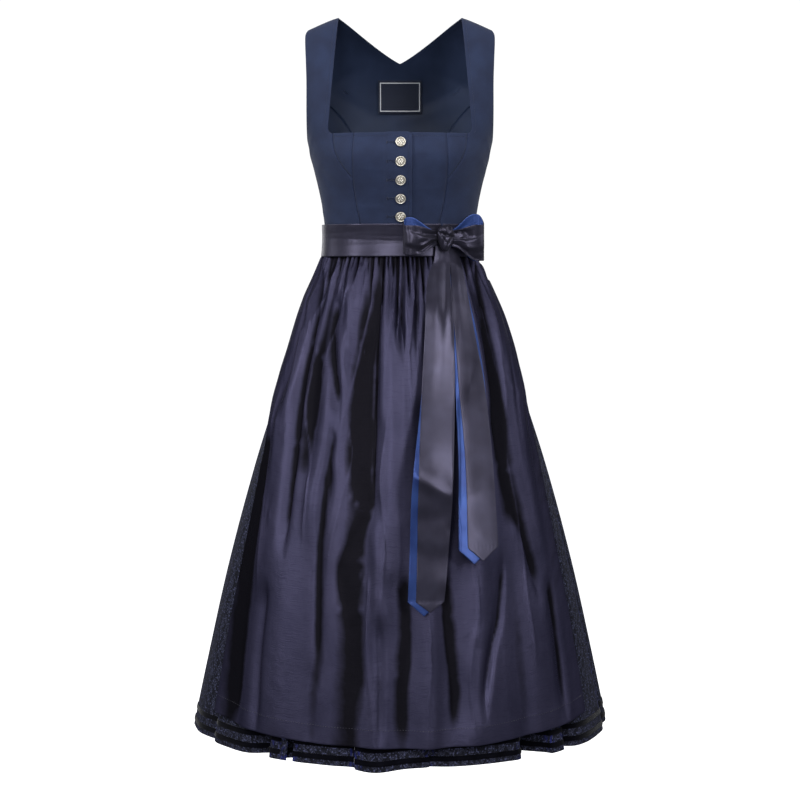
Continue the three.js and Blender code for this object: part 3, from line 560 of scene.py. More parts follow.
def satin(name, low, high, metallic, rough=0.32):
    """Satin ribbon: fine lengthwise threads under a smooth sheen."""
    finish = Finish(name, Specular_IOR_Level=0.3, Anisotropic=0.45, Sheen_Weight=0.04)
    spot = finish.place()
    thread = finish.noise(finish.place((0.03, 1, 1)), 2400, 1.0)
    cloud = finish.noise(spot, 22, 2.0)
    finish.give(
        Base_Color=finish.mix(finish.band(cloud, 0.3, 0.7), low, high),
        Metallic=metallic,
        Roughness=rough + (thread - 0.5) * 0.08 + (cloud - 0.5) * 0.06,
    )
    finish.bump(thread * 0.3 + cloud, 0.25, 0.0006)
    return finish.material


def antique_silver():
    """Cast metal, dark in the hollows and worn bright on the relief."""
    finish = Finish("antique silver", Specular_IOR_Level=0.5)
    spot = finish.place(cloth=False)
    relief = finish.along("relief")
    pitting = finish.noise(spot, 900, 3.0, 0.6)
    bright = finish.band(relief + (pitting - 0.5) * 0.5, 0.25, 0.75)
    finish.give(
        Base_Color=finish.mix(bright, srgb(160, 152, 136), srgb(252, 247, 236)),
        Metallic=0.55 + bright * 0.3,
        Roughness=0.5 - bright * 0.14,
    )
    finish.bump(pitting, 0.4, 0.0002)
    return finish.material


def woven_label():
    """Navy label cloth with a thin pale woven border."""
    finish = Finish("woven label", Sheen_Weight=0.1, Specular_IOR_Level=0.3)
    spot = finish.place()
    across = finish.node("SeparateXYZ", inputs={"Vector": spot}, output="X")
    down = finish.node("SeparateXYZ", inputs={"Vector": spot}, output="Y")
    half_wide, half_high = LABEL["width"] / 2 * MM, LABEL["height"] / 2 * MM
    from_side = half_wide - across.join("ABSOLUTE", 0.0)
    from_top = half_high - down.join("ABSOLUTE", 0.0)
    inset = from_side.join("MINIMUM", from_top)
    line = finish.band(inset, 0.0031, 0.0034) * (1 - finish.band(inset, 0.0046, 0.0049))
    thread = finish.noise(finish.place((1, 0.3, 1)), 1500, 1.0)
    ground = finish.mix(finish.band(thread, 0.35, 0.65), srgb(20, 26, 42), srgb(30, 37, 56))
    finish.give(
        Base_Color=finish.mix(line * (0.65 + thread * 0.5), ground, srgb(205, 208, 214)),
        Roughness=0.7 + (thread - 0.5) * 0.2,
    )
    finish.bump(thread * 0.5 + line * 0.5, 0.4, 0.0003)
    return finish.material


def sewing_thread(name, color):
    """Twisted thread with lit strands."""
    finish = Finish(name, Sheen_Weight=0.2, Specular_IOR_Level=0.4)
    twist = finish.noise(finish.place(cloth=False), 2200, 1.0)
    finish.give(
        Base_Color=finish.mix(twist, color, tuple(min(1.0, c * 1.5) for c in color)),
        Roughness=0.6 + (twist - 0.5) * 0.2,
    )
    return finish.material


def studio_floor():
    """Pale seamless paper, lit so evenly that it reads as white."""
    finish = Finish("studio paper", Specular_IOR_Level=0.1, Emission_Strength=1.0)
    tooth = finish.noise(finish.place(cloth=False), 40, 2.0)
    finish.give(
        Base_Color=finish.mix(tooth, (0.82, 0.82, 0.82, 1), (0.86, 0.86, 0.86, 1)),
        Emission_Color=finish.mix(tooth, (0.98, 0.98, 0.98, 1), (1, 1, 1, 1)),
        Roughness=0.9 + (tooth - 0.5) * 0.05,
    )
    return finish.material


WORSTED = worsted()
LINING = lining()
FIGURED = figured_cotton()
VELVET = velvet()
TAFFETA = taffeta()
BLACK_SATIN = satin("black satin", srgb(58, 56, 71), srgb(72, 70, 88), 0.75)
# The bow's satin is the black satin painted darker, as painted shade for the bow's tightly curved cloth,
# and a little glossier.
BOW_SATIN_SHADED = satin("black satin of the bow", srgb(49, 47, 60), srgb(63, 61, 77), 0.75, 0.29)
BLUE_SATIN = satin("blue satin", srgb(42, 60, 116), srgb(55, 80, 143), 0.5)
SILVER = antique_silver()
LABEL_CLOTH = woven_label()
NAVY_THREAD = sewing_thread("navy thread", srgb(34, 42, 66))
VIOLET_THREAD = sewing_thread("violet thread", srgb(30, 29, 43))


# ---- meshes ----
def add_object(name, points, faces, materials, uv=None, face_materials=None, attributes=None, sharp=50):
    """A finished piece from points in millimetres."""
    mesh = bpy.data.meshes.new(name)
    mesh.from_pydata((np.asarray(points) * MM).tolist(), [], [tuple(face) for face in faces])
    for material in materials:
        mesh.materials.append(material)
    if face_materials is not None:
        mesh.polygons.foreach_set("material_index", np.asarray(face_materials, np.int32))
    if uv is not None:
        corners = np.zeros(len(mesh.loops), np.int32)
        mesh.loops.foreach_get("vertex_index", corners)
        layer = mesh.uv_layers.new(name="cloth")
        layer.data.foreach_set("uv", (np.asarray(uv) * MM)[corners].astype(np.float32).ravel())
    for attribute, values in (attributes or {}).items():
        made = mesh.attributes.new(attribute, "FLOAT", "POINT")
        made.data.foreach_set("value", np.asarray(values, np.float32).ravel())
    mesh.shade_smooth()
    mesh.set_sharp_from_angle(angle=math.radians(sharp))
    mesh.update()
    piece = bpy.data.objects.new(name, mesh)
    bpy.context.scene.collection.objects.link(piece)
    return piece


def shell_faces(rows, columns):
    """Quads of a closed wall between an outer and an inner grid: outer, inner, then the rim."""
    index = np.arange(rows * columns).reshape(rows, columns)
    a, b, c, d = index[:-1, :-1], index[:-1, 1:], index[1:, 1:], index[1:, :-1]
    outer = np.stack([a, b, c, d], -1).reshape(-1, 4)
    inner = outer[:, ::-1] + rows * columns
    rim = np.concatenate([index[0, :-1], index[:-1, -1], index[-1, :0:-1], index[:0:-1, 0]])
    after = np.roll(rim, -1)
    edge = np.stack([after, rim, rim + rows * columns, after + rows * columns], -1)
    return outer, inner, edge


def measure(points):
    """Area, width and length of a grid of cloth, in metres."""
    across = np.linalg.norm(np.diff(points, axis=1), axis=-1)
    down = np.linalg.norm(np.diff(points, axis=0), axis=-1)
    diagonal_a = points[1:, 1:] - points[:-1, :-1]
    diagonal_b = points[1:, :-1] - points[:-1, 1:]
    area = np.linalg.norm(np.cross(diagonal_a, diagonal_b), axis=-1).sum() / 2 * MM * MM
    return area, across.sum(1).max() * MM, down.sum(0).max() * MM


def grid_uv(points):
    """Each point's place on the flat cloth, in millimetres: across and down."""
    across = np.linalg.norm(np.diff(points, axis=1), axis=-1)
    down = np.linalg.norm(np.diff(points, axis=0), axis=-1)
    u = np.concatenate([np.zeros((len(points), 1)), np.cumsum(across, 1)], 1)
    v = np.concatenate([np.zeros((1, points.shape[1])), np.cumsum(down, 0)], 0)
    u = u - u[:, points.shape[1] // 2, None]
    return np.stack([u, v], -1)


EDGE_SOFT = 0.3  # share of a wall's thickness that its edge is rounded by


def wall(name, spots, normals, lift, thick, materials, uv=None, attributes=None):
    """A closed shell of cloth on a grid of spots, from lift down to lift - thick, its edges rounded."""
    rows, columns = spots.shape[:2]
    border = np.zeros((rows, columns))
    border[[0, -1]] = 1
    border[:, [0, -1]] = 1
    soft = (border * EDGE_SOFT * thick)[..., None]
    lift = np.broadcast_to(lift, (rows, columns))[..., None]
    outer = spots + normals * (lift - soft)
    inner = spots + normals * (lift - thick + soft)
    front, back, edge = shell_faces(rows, columns)
    points = np.concatenate([outer.reshape(-1, 3), inner.reshape(-1, 3)])
    quads = np.concatenate([front, back, edge])
    p, q, r = (points[quads[:, k]] for k in range(3))
    s = points[quads[:, 3]]
    volume = np.sum(p * np.cross(q, r)) + np.sum(p * np.cross(r, s))
    if volume < 0:
        quads = quads[:, ::-1]
    on_cloth = grid_uv(outer) if uv is None else uv
    kinds = None
    if len(materials) > 1:
        kinds = np.concatenate([np.zeros(len(front)), np.ones(len(back)), np.zeros(len(edge))])
    both = {key: np.tile(np.asarray(value).ravel(), 2) for key, value in (attributes or {}).items()}
    piece = add_object(
        name, points, quads.tolist(), materials, np.tile(on_cloth.reshape(-1, 2), (2, 1)), kinds, both
    )
    piece["cut"] = [float(x) for x in measure(spots)]
    return piece


NARROWEST_CUT = 0.0101  # metres: a ribbon with its turned edges


def finish_sheet(piece, nodes):
    """The piece rides and stands for its nodes; the cut measured on it is read, then taken off the piece.
    """
    area, width, length = piece["cut"]
    length = max(length, NARROWEST_CUT)
    del piece["cut"]
    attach(piece, "root")
    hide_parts(*nodes)


def finish_solid(piece, node):
    """The piece rides and stands for its node."""
    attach(piece, "root")
    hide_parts(node)


def round_faces(rows, count):
    """Faces over rings of points, closed by one point above the first ring and one below the last."""
    faces = []
    for i in range(rows - 1):
        for j in range(count):
            k = (j + 1) % count
            faces.append((i * count + j, (i + 1) * count + j, (i + 1) * count + k, i * count + k))
    above, below, last = rows * count, rows * count + 1, (rows - 1) * count
    faces += [(above, j, (j + 1) % count) for j in range(count)]
    faces += [(below, last + (j + 1) % count, last + j) for j in range(count)]
    return faces


# ---- stitches ----
BEAD_SEGMENTS, BEAD_RINGS = 6, 4


def stitch_tree():
    """Stitches along lines: short threads laid end to end, each a stretched bead."""
    tree = bpy.data.node_groups.new("stitches along lines", "GeometryNodeTree")
    given_sockets = (
        ("Lines", "Geometry"), ("Stitch length", "Float"), ("Gap", "Float"), ("Thread radius", "Float"),
        ("Turn", "Float"), ("Thread", "Material"),
    )
    sockets = [
        tree.interface.new_socket(name=name, in_out="INPUT", socket_type="NodeSocket" + kind)
        for name, kind in given_sockets
    ]
    tree.interface.new_socket(name="Stitches", in_out="OUTPUT", socket_type="NodeSocketGeometry")
    node = tree.nodes.new
    given = node("NodeGroupInput")
    result = node("NodeGroupOutput")
    link = tree.links.new
    curve = node("GeometryNodeMeshToCurve")
    link(given.outputs["Lines"], curve.inputs["Mesh"])
    pitch = node("ShaderNodeMath")
    link(given.outputs["Stitch length"], pitch.inputs[0])
    link(given.outputs["Gap"], pitch.inputs[1])
    points = node("GeometryNodeCurveToPoints")
    points.mode = "LENGTH"
    link(curve.outputs["Curve"], points.inputs["Curve"])
    link(pitch.outputs[0], points.inputs["Length"])
    bead = node("GeometryNodeMeshUVSphere")
    bead.inputs["Segments"].default_value = BEAD_SEGMENTS
    bead.inputs["Rings"].default_value = BEAD_RINGS
    bead.inputs["Radius"].default_value = 1.0
    half = node("ShaderNodeMath")
    half.operation = "MULTIPLY"
    half.inputs[1].default_value = 0.5
    link(given.outputs["Stitch length"], half.inputs[0])
    size = node("ShaderNodeCombineXYZ")
    link(given.outputs["Thread radius"], size.inputs["X"])
    link(given.outputs["Thread radius"], size.inputs["Y"])
    link(half.outputs[0], size.inputs["Z"])
    turn = node("FunctionNodeRotateRotation")
    turn.rotation_space = "LOCAL"
    angle = node("FunctionNodeAxisAngleToRotation")
    angle.inputs["Axis"].default_value = (0.0, 1.0, 0.0)
    link(given.outputs["Turn"], angle.inputs["Angle"])
    link(points.outputs["Rotation"], turn.inputs["Rotation"])
    link(angle.outputs["Rotation"], turn.inputs["Rotate By"])
    laid = node("GeometryNodeInstanceOnPoints")
    link(points.outputs["Points"], laid.inputs["Points"])
    link(bead.outputs["Mesh"], laid.inputs["Instance"])
    link(turn.outputs["Rotation"], laid.inputs["Rotation"])
    link(size.outputs["Vector"], laid.inputs["Scale"])
    real = node("GeometryNodeRealizeInstances")
    link(laid.outputs["Instances"], real.inputs["Geometry"])
    dyed = node("GeometryNodeSetMaterial")
    link(real.outputs["Geometry"], dyed.inputs["Geometry"])
    link(given.outputs["Thread"], dyed.inputs["Material"])
    link(dyed.outputs["Geometry"], result.inputs["Stitches"])
    return tree, {socket.name: socket.identifier for socket in sockets}


STITCH_TREE, STITCH_SOCKETS = stitch_tree()


def sew(name, lines, thread, stitch=2.6, gap=0.9, radius=0.28, turn=0.0):
    """Stitches along lines of points in millimetres, as one mesh."""
    points = np.concatenate(lines) * MM
    starts = np.cumsum([0] + [len(line) for line in lines])
    spans = zip(starts[:-1], starts[1:])
    edges = [(i, i + 1) for start, end in spans for i in range(start, end - 1)]
    guide_mesh = bpy.data.meshes.new(name + " guide")
    guide_mesh.from_pydata(points.tolist(), edges, [])
    guide = bpy.data.objects.new(name + " guide", guide_mesh)
    bpy.context.scene.collection.objects.link(guide)
    modifier = guide.modifiers.new("stitches", "NODES")
    modifier.node_group = STITCH_TREE
    sizes = {"Stitch length": stitch * MM, "Gap": gap * MM, "Thread radius": radius * MM, "Turn": turn}
    for socket, value in {**sizes, "Thread": thread}.items():
        modifier[STITCH_SOCKETS[socket]] = value
    sewn = guide.evaluated_get(bpy.context.evaluated_depsgraph_get())
    mesh = bpy.data.meshes.new_from_object(sewn)
    guide.modifiers.remove(modifier)
    bpy.data.objects.remove(guide)
    mesh.name = name
    mesh.shade_smooth()
    piece = bpy.data.objects.new(name, mesh)
    bpy.context.scene.collection.objects.link(piece)
    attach(piece, "root")


# ---- bodice surface ----
torso = {column: track(TORSO, "index", column) for column in ("rise", "half", "front", "back")}
front_seam = track(FRONT_SEAM, "rise", "across")
cup_seam = track(CUP_SEAM, "rise", "across")
back_seam = track(BACK_SEAM, "rise", "across")
armhole = track(ARMHOLE, "rise", "across")
LEVELS = np.linspace(CREST, WAIST_ROW + 1, 8001)
LEVEL_RISES = torso["rise"](LEVELS)


def level_at(rise):
    """The torso's level, its row counted in shares, at a height."""
    return np.interp(-np.asarray(rise, float), -LEVEL_RISES, LEVELS)


SHOULDER_BEND, SHOULDER_SOFT = 95, 20  # where the shoulder begins to slope, and how softly


def shoulder_fall(across):
    def ramp(x):
        return (np.hypot(x - SHOULDER_BEND, SHOULDER_SOFT) + x - SHOULDER_BEND) / 2

    return SHOULDER_SLOPE * (ramp(across) - ramp(NECK_HALF_TOP))


BUST = {"out": 8, "angle": 34, "wide": 19, "rise": -228, "high": 36}


def bust(angle, rise):
    """How far the bust stands out of the torso's sections."""
    lobes = bell(angle - BUST["angle"], BUST["wide"]) + bell(angle + BUST["angle"], BUST["wide"])
    return BUST["out"] * lobes * bell(rise - BUST["rise"], BUST["high"])


# Soft creases of the bodice: angle and height of the middle, half length and tilt of the line (degrees
# from level), half width, and how far it stands out or in.
BODICE_CREASES = (
    (18, -338, 34, 7, 4, 0.6),
    (-24, -341, 38, -5, 4.5, 0.7),
    (46, -334, 30, 12, 5, 0.8),
    (-50, -330, 34, -14, 5, 0.9),
    (68, -318, 36, 24, 6, 1.0),
    (-72, -322, 34, -20, 6, 1.0),
    (30, -300, 40, 6, 7, 0.5),
    (-34, -306, 36, -8, 7, 0.5),
    (56, -262, 34, 34, 8, -0.8),
    (-58, -258, 36, -36, 8, -0.8),
    (76, -214, 30, -38, 6, 1.1),
    (-78, -210, 32, 36, 6, 1.1),
    (70, -236, 34, -20, 8, 0.8),
    (-66, -240, 30, 24, 8, 0.7),
    (12, -222, 22, 3, 4, 0.4),
    (-14, -248, 24, -4, 4, 0.4),
    (10, -278, 26, 5, 4, 0.5),
    (-16, -306, 24, -3, 4, 0.4),
    (112, -330, 34, 10, 6, 1.0),
    (-110, -336, 32, -12, 6, 1.0),
    (128, -290, 40, 22, 8, 0.9),
    (-132, -296, 42, -18, 8, 0.9),
    (150, -340, 34, -6, 5, 0.8),
    (-158, -334, 36, 8, 5, 0.8),
    (166, -300, 40, 4, 8, 0.7),
    (-170, -262, 38, -6, 8, 0.7),
    (104, -226, 34, 40, 7, 1.1),
    (-106, -222, 34, -42, 7, 1.1),
    (140, -190, 44, 30, 9, 0.9),
    (-138, -186, 44, -28, 9, 0.9),
    (158, -120, 60, -32, 10, 1.4),
    (-152, -128, 56, 34, 10, 1.4),
    (172, -150, 50, -20, 9, -1.0),
    (146, -96, 40, 30, 8, 1.2),
    (-144, -92, 42, -30, 8, 1.2),
)


BODICE_RADIUS = 118  # mean radius, along which the creases are laid


def bodice_relief(angle, rise):
    """How far the worn cloth stands off its smooth form, in millimetres."""
    out = np.zeros(np.broadcast(angle, rise).shape)
    for middle, height, long, tilt, wide, high in BODICE_CREASES:
        round_by = ((angle - middle + 180) % 360 - 180) * math.radians(1) * BODICE_RADIUS
        up = rise - height
        cos, sin = math.cos(math.radians(tilt)), math.sin(math.radians(tilt))
        out += high * bell(round_by * cos + up * sin, long) * bell(up * cos - round_by * sin, wide)
    return out


def on_torso(angle, level):
    sin, cos = np.sin(np.radians(angle)), np.cos(np.radians(angle))
    power = 2 / SQUARENESS
    rise = torso["rise"](level)
    x = torso["half"](level) * np.sign(sin) * np.abs(sin) ** power
    depth = np.where(cos > 0, -torso["front"](level), torso["back"](level))
    y = depth * np.abs(cos) ** power - bust(angle, rise) * np.maximum(0, cos)
    z = rise - shoulder_fall(np.abs(x)) * np.clip(1 + rise / -NECK_FRONT, 0, 1) ** 2
    return stack(x, y, z)


def angle_across(across, level):
    share = np.minimum(1, np.abs(across) / torso["half"](level)) ** (SQUARENESS / 2)
    return np.degrees(np.sign(across) * np.arcsin(share))


def torso_normal(angle, level):
    return normal_of(on_torso, angle, level, 0.2, -0.01, 1)


def on_bodice(angle, level, lift):
    """A spot on the worn cloth, lift above the form."""
    relief = bodice_relief(angle, torso["rise"](level))
    return on_torso(angle, level) + torso_normal(angle, level) * (lift + relief)[..., None]


# ---- bodice panels ----
EDGE_STITCH = 5.5  # from the neck edge to its line of stitches
STITCH_DEEP, STITCH_SOFT = 0.35, 1.0  # how a line of stitches draws the cloth in
SEAM_DEEP, SEAM_SOFT = 1.5, 1.9  # how a panel falls into its seam
HALF_GAP = SEAM_GAP / 2
FRONT_HIGH = NECK_FRONT - WAIST
FRONT_WIDE = 58  # of the left front


def seam_fall(near):
    """The fall of a panel towards a seam, by distance from it."""
    return -SEAM_DEEP * bell(near, SEAM_SOFT)


def stitch_dip(distance):
    """The dip along the edge stitches, by distance from the edge."""
    return -STITCH_DEEP * bell(distance - EDGE_STITCH, STITCH_SOFT)


def bodice_panel(name, angle, level, lift):
    """One cut piece of the bodice, navy outside and lined."""
    normals = torso_normal(angle, level)
    lift = lift + bodice_relief(angle, torso["rise"](level))
    piece = wall(name, on_torso(angle, level), normals, lift, BODICE_WALL, [WORSTED, LINING])
    finish_sheet(piece, [name.replace("_cloth", "")])


def placket_grid():
    """The wearer's right front, whose edge laps over and has a rounded top corner."""
    ups = spaced(FRONT_HIGH, 96)[:, None]
    near_seam = np.array([0.008, 0.02, 0.036])
    near_edge = np.array([0, 0.25, 0.5, 0.72, 0.88, 0.97, 1]) * 0.03 + 0.97
    inner = np.unique(np.concatenate([near_seam, np.linspace(0, 1, 74)[:-1], near_edge]))
    nominal = lerp(WAIST, NECK_FRONT, ups)
    edge = -front_seam(nominal) + HALF_GAP
    across = lerp(edge, PLACKET_EDGE, inner[None, :])
    past = np.maximum(0, across - (PLACKET_EDGE - PLACKET_CORNER))
    cut = PLACKET_CORNER - np.sqrt(np.maximum(0, PLACKET_CORNER**2 - past**2))
    rise = lerp(WAIST, NECK_FRONT - cut, ups)
    level = level_at(rise)
    return across, rise, level, edge


PLACKET_CLIMB = 12.0  # width over which the placket climbs onto the underlap


def placket_lift(across):
    """How far the right front stands out over the underlap."""
    return PLACKET_LIFT * ease((across + UNDERLAP + 14) / PLACKET_CLIMB)


def build_fronts():
    across, rise, level, edge = placket_grid()
    angle = angle_across(across, level)
    lift = placket_lift(across) - 0.9 * bell(across - edge, 2.2)
    lift = lift + stitch_dip(NECK_FRONT - rise) + stitch_dip(PLACKET_EDGE - across) * 0.8
    bodice_panel("front_right_placket_cloth", angle, level, lift)
    ups = spaced(FRONT_HIGH, 90)[:, None]
    shares = spaced(FRONT_WIDE, 40)[None, :]
    rise = lerp(WAIST, NECK_FRONT, ups) + 0 * shares
    across = lerp(-UNDERLAP, front_seam(rise) - HALF_GAP, shares)
    level = level_at(rise)
    near = (1 - shares) * FRONT_WIDE
    lift = seam_fall(near) + stitch_dip(NECK_FRONT - rise) * (across > PLACKET_EDGE)
    bodice_panel("front_left_cloth", angle_across(across, level), level, lift)


def side_front_inner(rise):
    """How far across the side front begins: its seams, the neck's corner, then the strap."""
    above = rise - NECK_FRONT
    strap = lerp(NECK_HALF_LOW, NECK_HALF_TOP, above / -NECK_FRONT)
    corner = strap - NECK_CORNER + np.sqrt(np.maximum(0, NECK_CORNER**2 - (NECK_CORNER - above) ** 2))
    neck = np.where(above >= NECK_CORNER, strap, corner)
    seam = np.where(rise < BUST_APEX - 0.01, front_seam(rise), cup_seam(rise)) + HALF_GAP
    return np.where(rise <= NECK_FRONT, seam, neck)


def armhole_angle(rise, level):
    return np.where(rise <= UNDERARM, 90.0, angle_across(armhole(rise), level))


def seam_angle(level):
    return np.degrees(HALF_GAP / torso["half"](level))


SHOULDER_EDGE = -0.02  # the height at which both strap pieces end, just short of the crest
SIDE_RISES = np.concatenate([
    WAIST + np.array([0, 0.8, 1.8, 3]),
    np.linspace(WAIST + 5, BUST_APEX - 1, 30),
    np.linspace(BUST_APEX, NECK_FRONT, 26),
    NECK_FRONT + NECK_CORNER * (1 - np.cos(np.linspace(0, np.pi / 2, 10)))[1:],
    np.linspace(-176, -30, 46),
    np.array([-27, -24, -21, -18, -15, -12.5, -10, -8, -6, -4.5, -3.2, -2.2, -1.4, -0.8, -0.35, -0.1]),
    [SHOULDER_EDGE],
])


def build_side_front(word, side):
    rise = SIDE_RISES[:, None]
    level = level_at(rise)
    inner = angle_across(side_front_inner(rise), level)
    outer = armhole_angle(rise, level) - np.where(rise <= UNDERARM, seam_angle(level), 0)
    shares = spaced(60, 40)[None, :]
    angle = lerp(inner, outer, shares)
    arc = np.radians(outer - inner) * torso["half"](level)
    rise = rise + 0 * shares
    from_neck, from_armhole = shares * arc, (1 - shares) * arc
    seam = np.where(rise <= NECK_FRONT, seam_fall(from_neck), stitch_dip(from_neck))
    arm = np.where(rise <= UNDERARM, seam_fall(from_armhole), 0)
    bodice_panel(f"front_side_{word}_cloth", side * angle, level + 0 * shares, seam + arm)


def build_cup(word, side):
    ups = spaced(71, 44)[:, None]
    rise = lerp(BUST_APEX, NECK_FRONT, ups)
    level = level_at(rise)
    inner, outer = front_seam(rise) + HALF_GAP, cup_seam(rise) - HALF_GAP
    shares = spaced(28, 18)[None, :]
    angle = angle_across(lerp(inner, outer, shares), level)
    wide = outer - inner
    near = np.minimum(shares, 1 - shares) * wide
    lift = seam_fall(near) + stitch_dip(NECK_FRONT - rise)
    bodice_panel(f"front_cup_{word}_cloth", side * angle, level + 0 * shares, lift)


def build_side_back(word, side):
    ups = spaced(246, 110)[:, None]
    rise = lerp(WAIST, BACK_SEAM_TOP, ups)
    level = level_at(rise)
    inner = angle_across(back_seam(rise) + SEAM_GAP, level)
    outer = armhole_angle(rise, level) - np.where(rise <= UNDERARM, seam_angle(level), 0)
    outer = np.maximum(inner + 0.4, outer)
    shares = spaced(75, 44)[None, :]
    angle = 180 - lerp(inner, outer, shares)
    arc = np.radians(outer - inner) * torso["half"](level)
    lift = seam_fall(shares * arc)
    lift = lift + np.where(rise <= UNDERARM, seam_fall((1 - shares) * arc), 0)
    bodice_panel(f"back_side_{word}_cloth", side * angle, level + 0 * shares, lift)


def centre_back_edge(level):
    rise = torso["rise"](level)
    across = np.where(rise <= BACK_SEAM_TOP, back_seam(rise) - HALF_GAP, armhole(rise))
    return angle_across(across, level)


STRAP_SHARE = float(angle_across(NECK_HALF_TOP, CREST) / angle_across(armhole(0), CREST))


def back_neck_level(share):
    """The level at which the centre back ends: the V, then the shoulder crest."""
    share = np.abs(share)

    def beyond(level):
        hollow = np.maximum(0, 1 - torso["rise"](level) / NECK_BACK) ** NECK_BACK_CURVE
        return on_torso(share * centre_back_edge(level), level)[..., 0] - NECK_HALF_TOP * hollow

    highest = np.full(share.shape, float(CREST))
    lowest = np.full(share.shape, float(level_at(NECK_BACK)))
    return np.where(share >= STRAP_SHARE - 1e-9, level_at(SHOULDER_EDGE), solve(beyond, highest, lowest))


BACK_HALF_WIDE = 148  # of the centre back at the shoulder


def build_centre_back():
    neck_half = spaced(STRAP_SHARE * BACK_HALF_WIDE, 44)
    strap = spaced((1 - STRAP_SHARE) * BACK_HALF_WIDE, 16)
    half = np.concatenate([neck_half * STRAP_SHARE, lerp(STRAP_SHARE, 1, strap[1:])])
    shares = np.concatenate([-half[:0:-1], half])[None, :]
    top = back_neck_level(shares)
    parts = np.concatenate([spaced(330, 92)[:-6], np.linspace(0.985, 1, 12)])[:, None]
    level = lerp(float(WAIST_ROW), top, parts)
    turned = shares * centre_back_edge(level)
    rise = torso["rise"](level)
    arc = np.radians(centre_back_edge(level)) * torso["half"](level)
    near = (1 - np.abs(shares)) * arc
    seam = np.where(rise <= BACK_SEAM_TOP, seam_fall(near), 0)
    from_neck = np.where(np.abs(shares) < STRAP_SHARE, (torso["rise"](top) - rise) * 0.85, 99)
    bodice_panel("back_centre_cloth", 180 - turned, level, seam + stitch_dip(from_neck))


# ---- buttons, label and bodice sewing ----
PETALS = 6
BUTTON_FOOT = 0.02  # height of a button's underside
ROUND_EDGES = 60  # edges bent by fewer degrees are shaded smooth on the buttons and the knot


def button_relief(radius, turn):
    """How proud each spot of a cast button's face stands, 0 to 1: a rim and a simple flower."""
    outer = BUTTON["diameter"] / 2
    rim = bell(radius - (outer - 1.1), 0.75)
    reach = outer - BUTTON["rim"]
    petal = np.abs(np.cos(PETALS / 2 * turn)) ** 0.7
    flower = bell(radius - reach * 0.5, reach * 0.28) * petal
    leaf = bell(radius - reach * 0.86, reach * 0.1) * (1 - petal) ** 2
    heart = bell(radius, 1.25)
    return np.clip(rim + flower + 0.7 * leaf + heart, 0, 1)


def build_button(index, rise, clear):
    level = level_at(rise)
    angle = angle_across(BUTTON["across"], level)
    normal = torso_normal(np.array(angle), np.array(level))
    middle = on_torso(np.array(angle), np.array(level)) + normal * (PLACKET_LIFT + clear)
    side = np.cross([0, 0, 1.0], normal)
    side /= np.linalg.norm(side)
    up = np.cross(normal, side)
    outer = BUTTON["diameter"] / 2
    face = np.linspace(0, 1, 19)[1:] * (outer - 0.5)
    radii = np.concatenate([face, [outer - 0.15, outer, outer - 0.1, outer - 0.7]])
    turns = np.arange(72) / 72 * 2 * np.pi
    radius, turn = np.meshgrid(radii, turns, indexing="ij")
    relief = button_relief(radius, turn)
    height = BUTTON["body"] + BUTTON["relief"] * relief + BUTTON["dome"] * (1 - (radius / outer) ** 2)
    for row, low in ((-4, 2.0), (-3, 1.4), (-2, 0.5), (-1, BUTTON_FOOT)):
        height[row] = low
    ring = middle + (radius * np.cos(turn))[..., None] * side + (radius * np.sin(turn))[..., None] * up
    ring = ring + height[..., None] * normal
    top = middle + normal * (BUTTON["body"] + BUTTON["relief"] + BUTTON["dome"])
    points = np.vstack([ring.reshape(-1, 3), top, middle + normal * BUTTON_FOOT])
    values = {"relief": np.concatenate([relief.ravel(), [1.0, 0.0]])}
    faces = round_faces(*radius.shape)
    piece = add_object(f"button_{index}_cast", points, faces, [SILVER], None, None, values, ROUND_EDGES)
    finish_solid(piece, f"button_{index}")


def build_label():
    ups = spaced(LABEL["height"], 30, THIN_EDGE)[:, None]
    shares = spaced(LABEL["width"], 40, THIN_EDGE)[None, :]
    half_high, half_wide = LABEL["height"] / 2, LABEL["width"] / 2
    rise = lerp(LABEL["middle"] - half_high, LABEL["middle"] + half_high, ups) + 0 * shares
    level = level_at(rise)
    across = lerp(-half_wide, half_wide, shares) + 0 * ups
    angle = 180 - angle_across(across, level)
    spots, normals = on_torso(angle, level), torso_normal(angle, level)
    # The label lies on the lining's creases, held at its edges.
    lift = -BODICE_WALL - LABEL["inside"] + 0.6 * bodice_relief(angle, rise)
    uv = np.stack([across, rise - LABEL["middle"]], -1)
    piece = wall("label_cloth", spots, normals, lift, LABEL["thick"], [LABEL_CLOTH], uv)
    finish_sheet(piece, ["label"])


def bodice_line(across, rise, lift):
    """A line on the bodice's front through points given across and by height."""
    across, rise = np.broadcast_arrays(np.asarray(across, float), np.asarray(rise, float))
    level = level_at(rise)
    return on_bodice(angle_across(across, level), level, np.broadcast_to(lift, across.shape))


NECK_STITCHES_END = 106  # how far across the stitches of the front neck edge run
RIGHT_SEAM_AT_NECK = -72


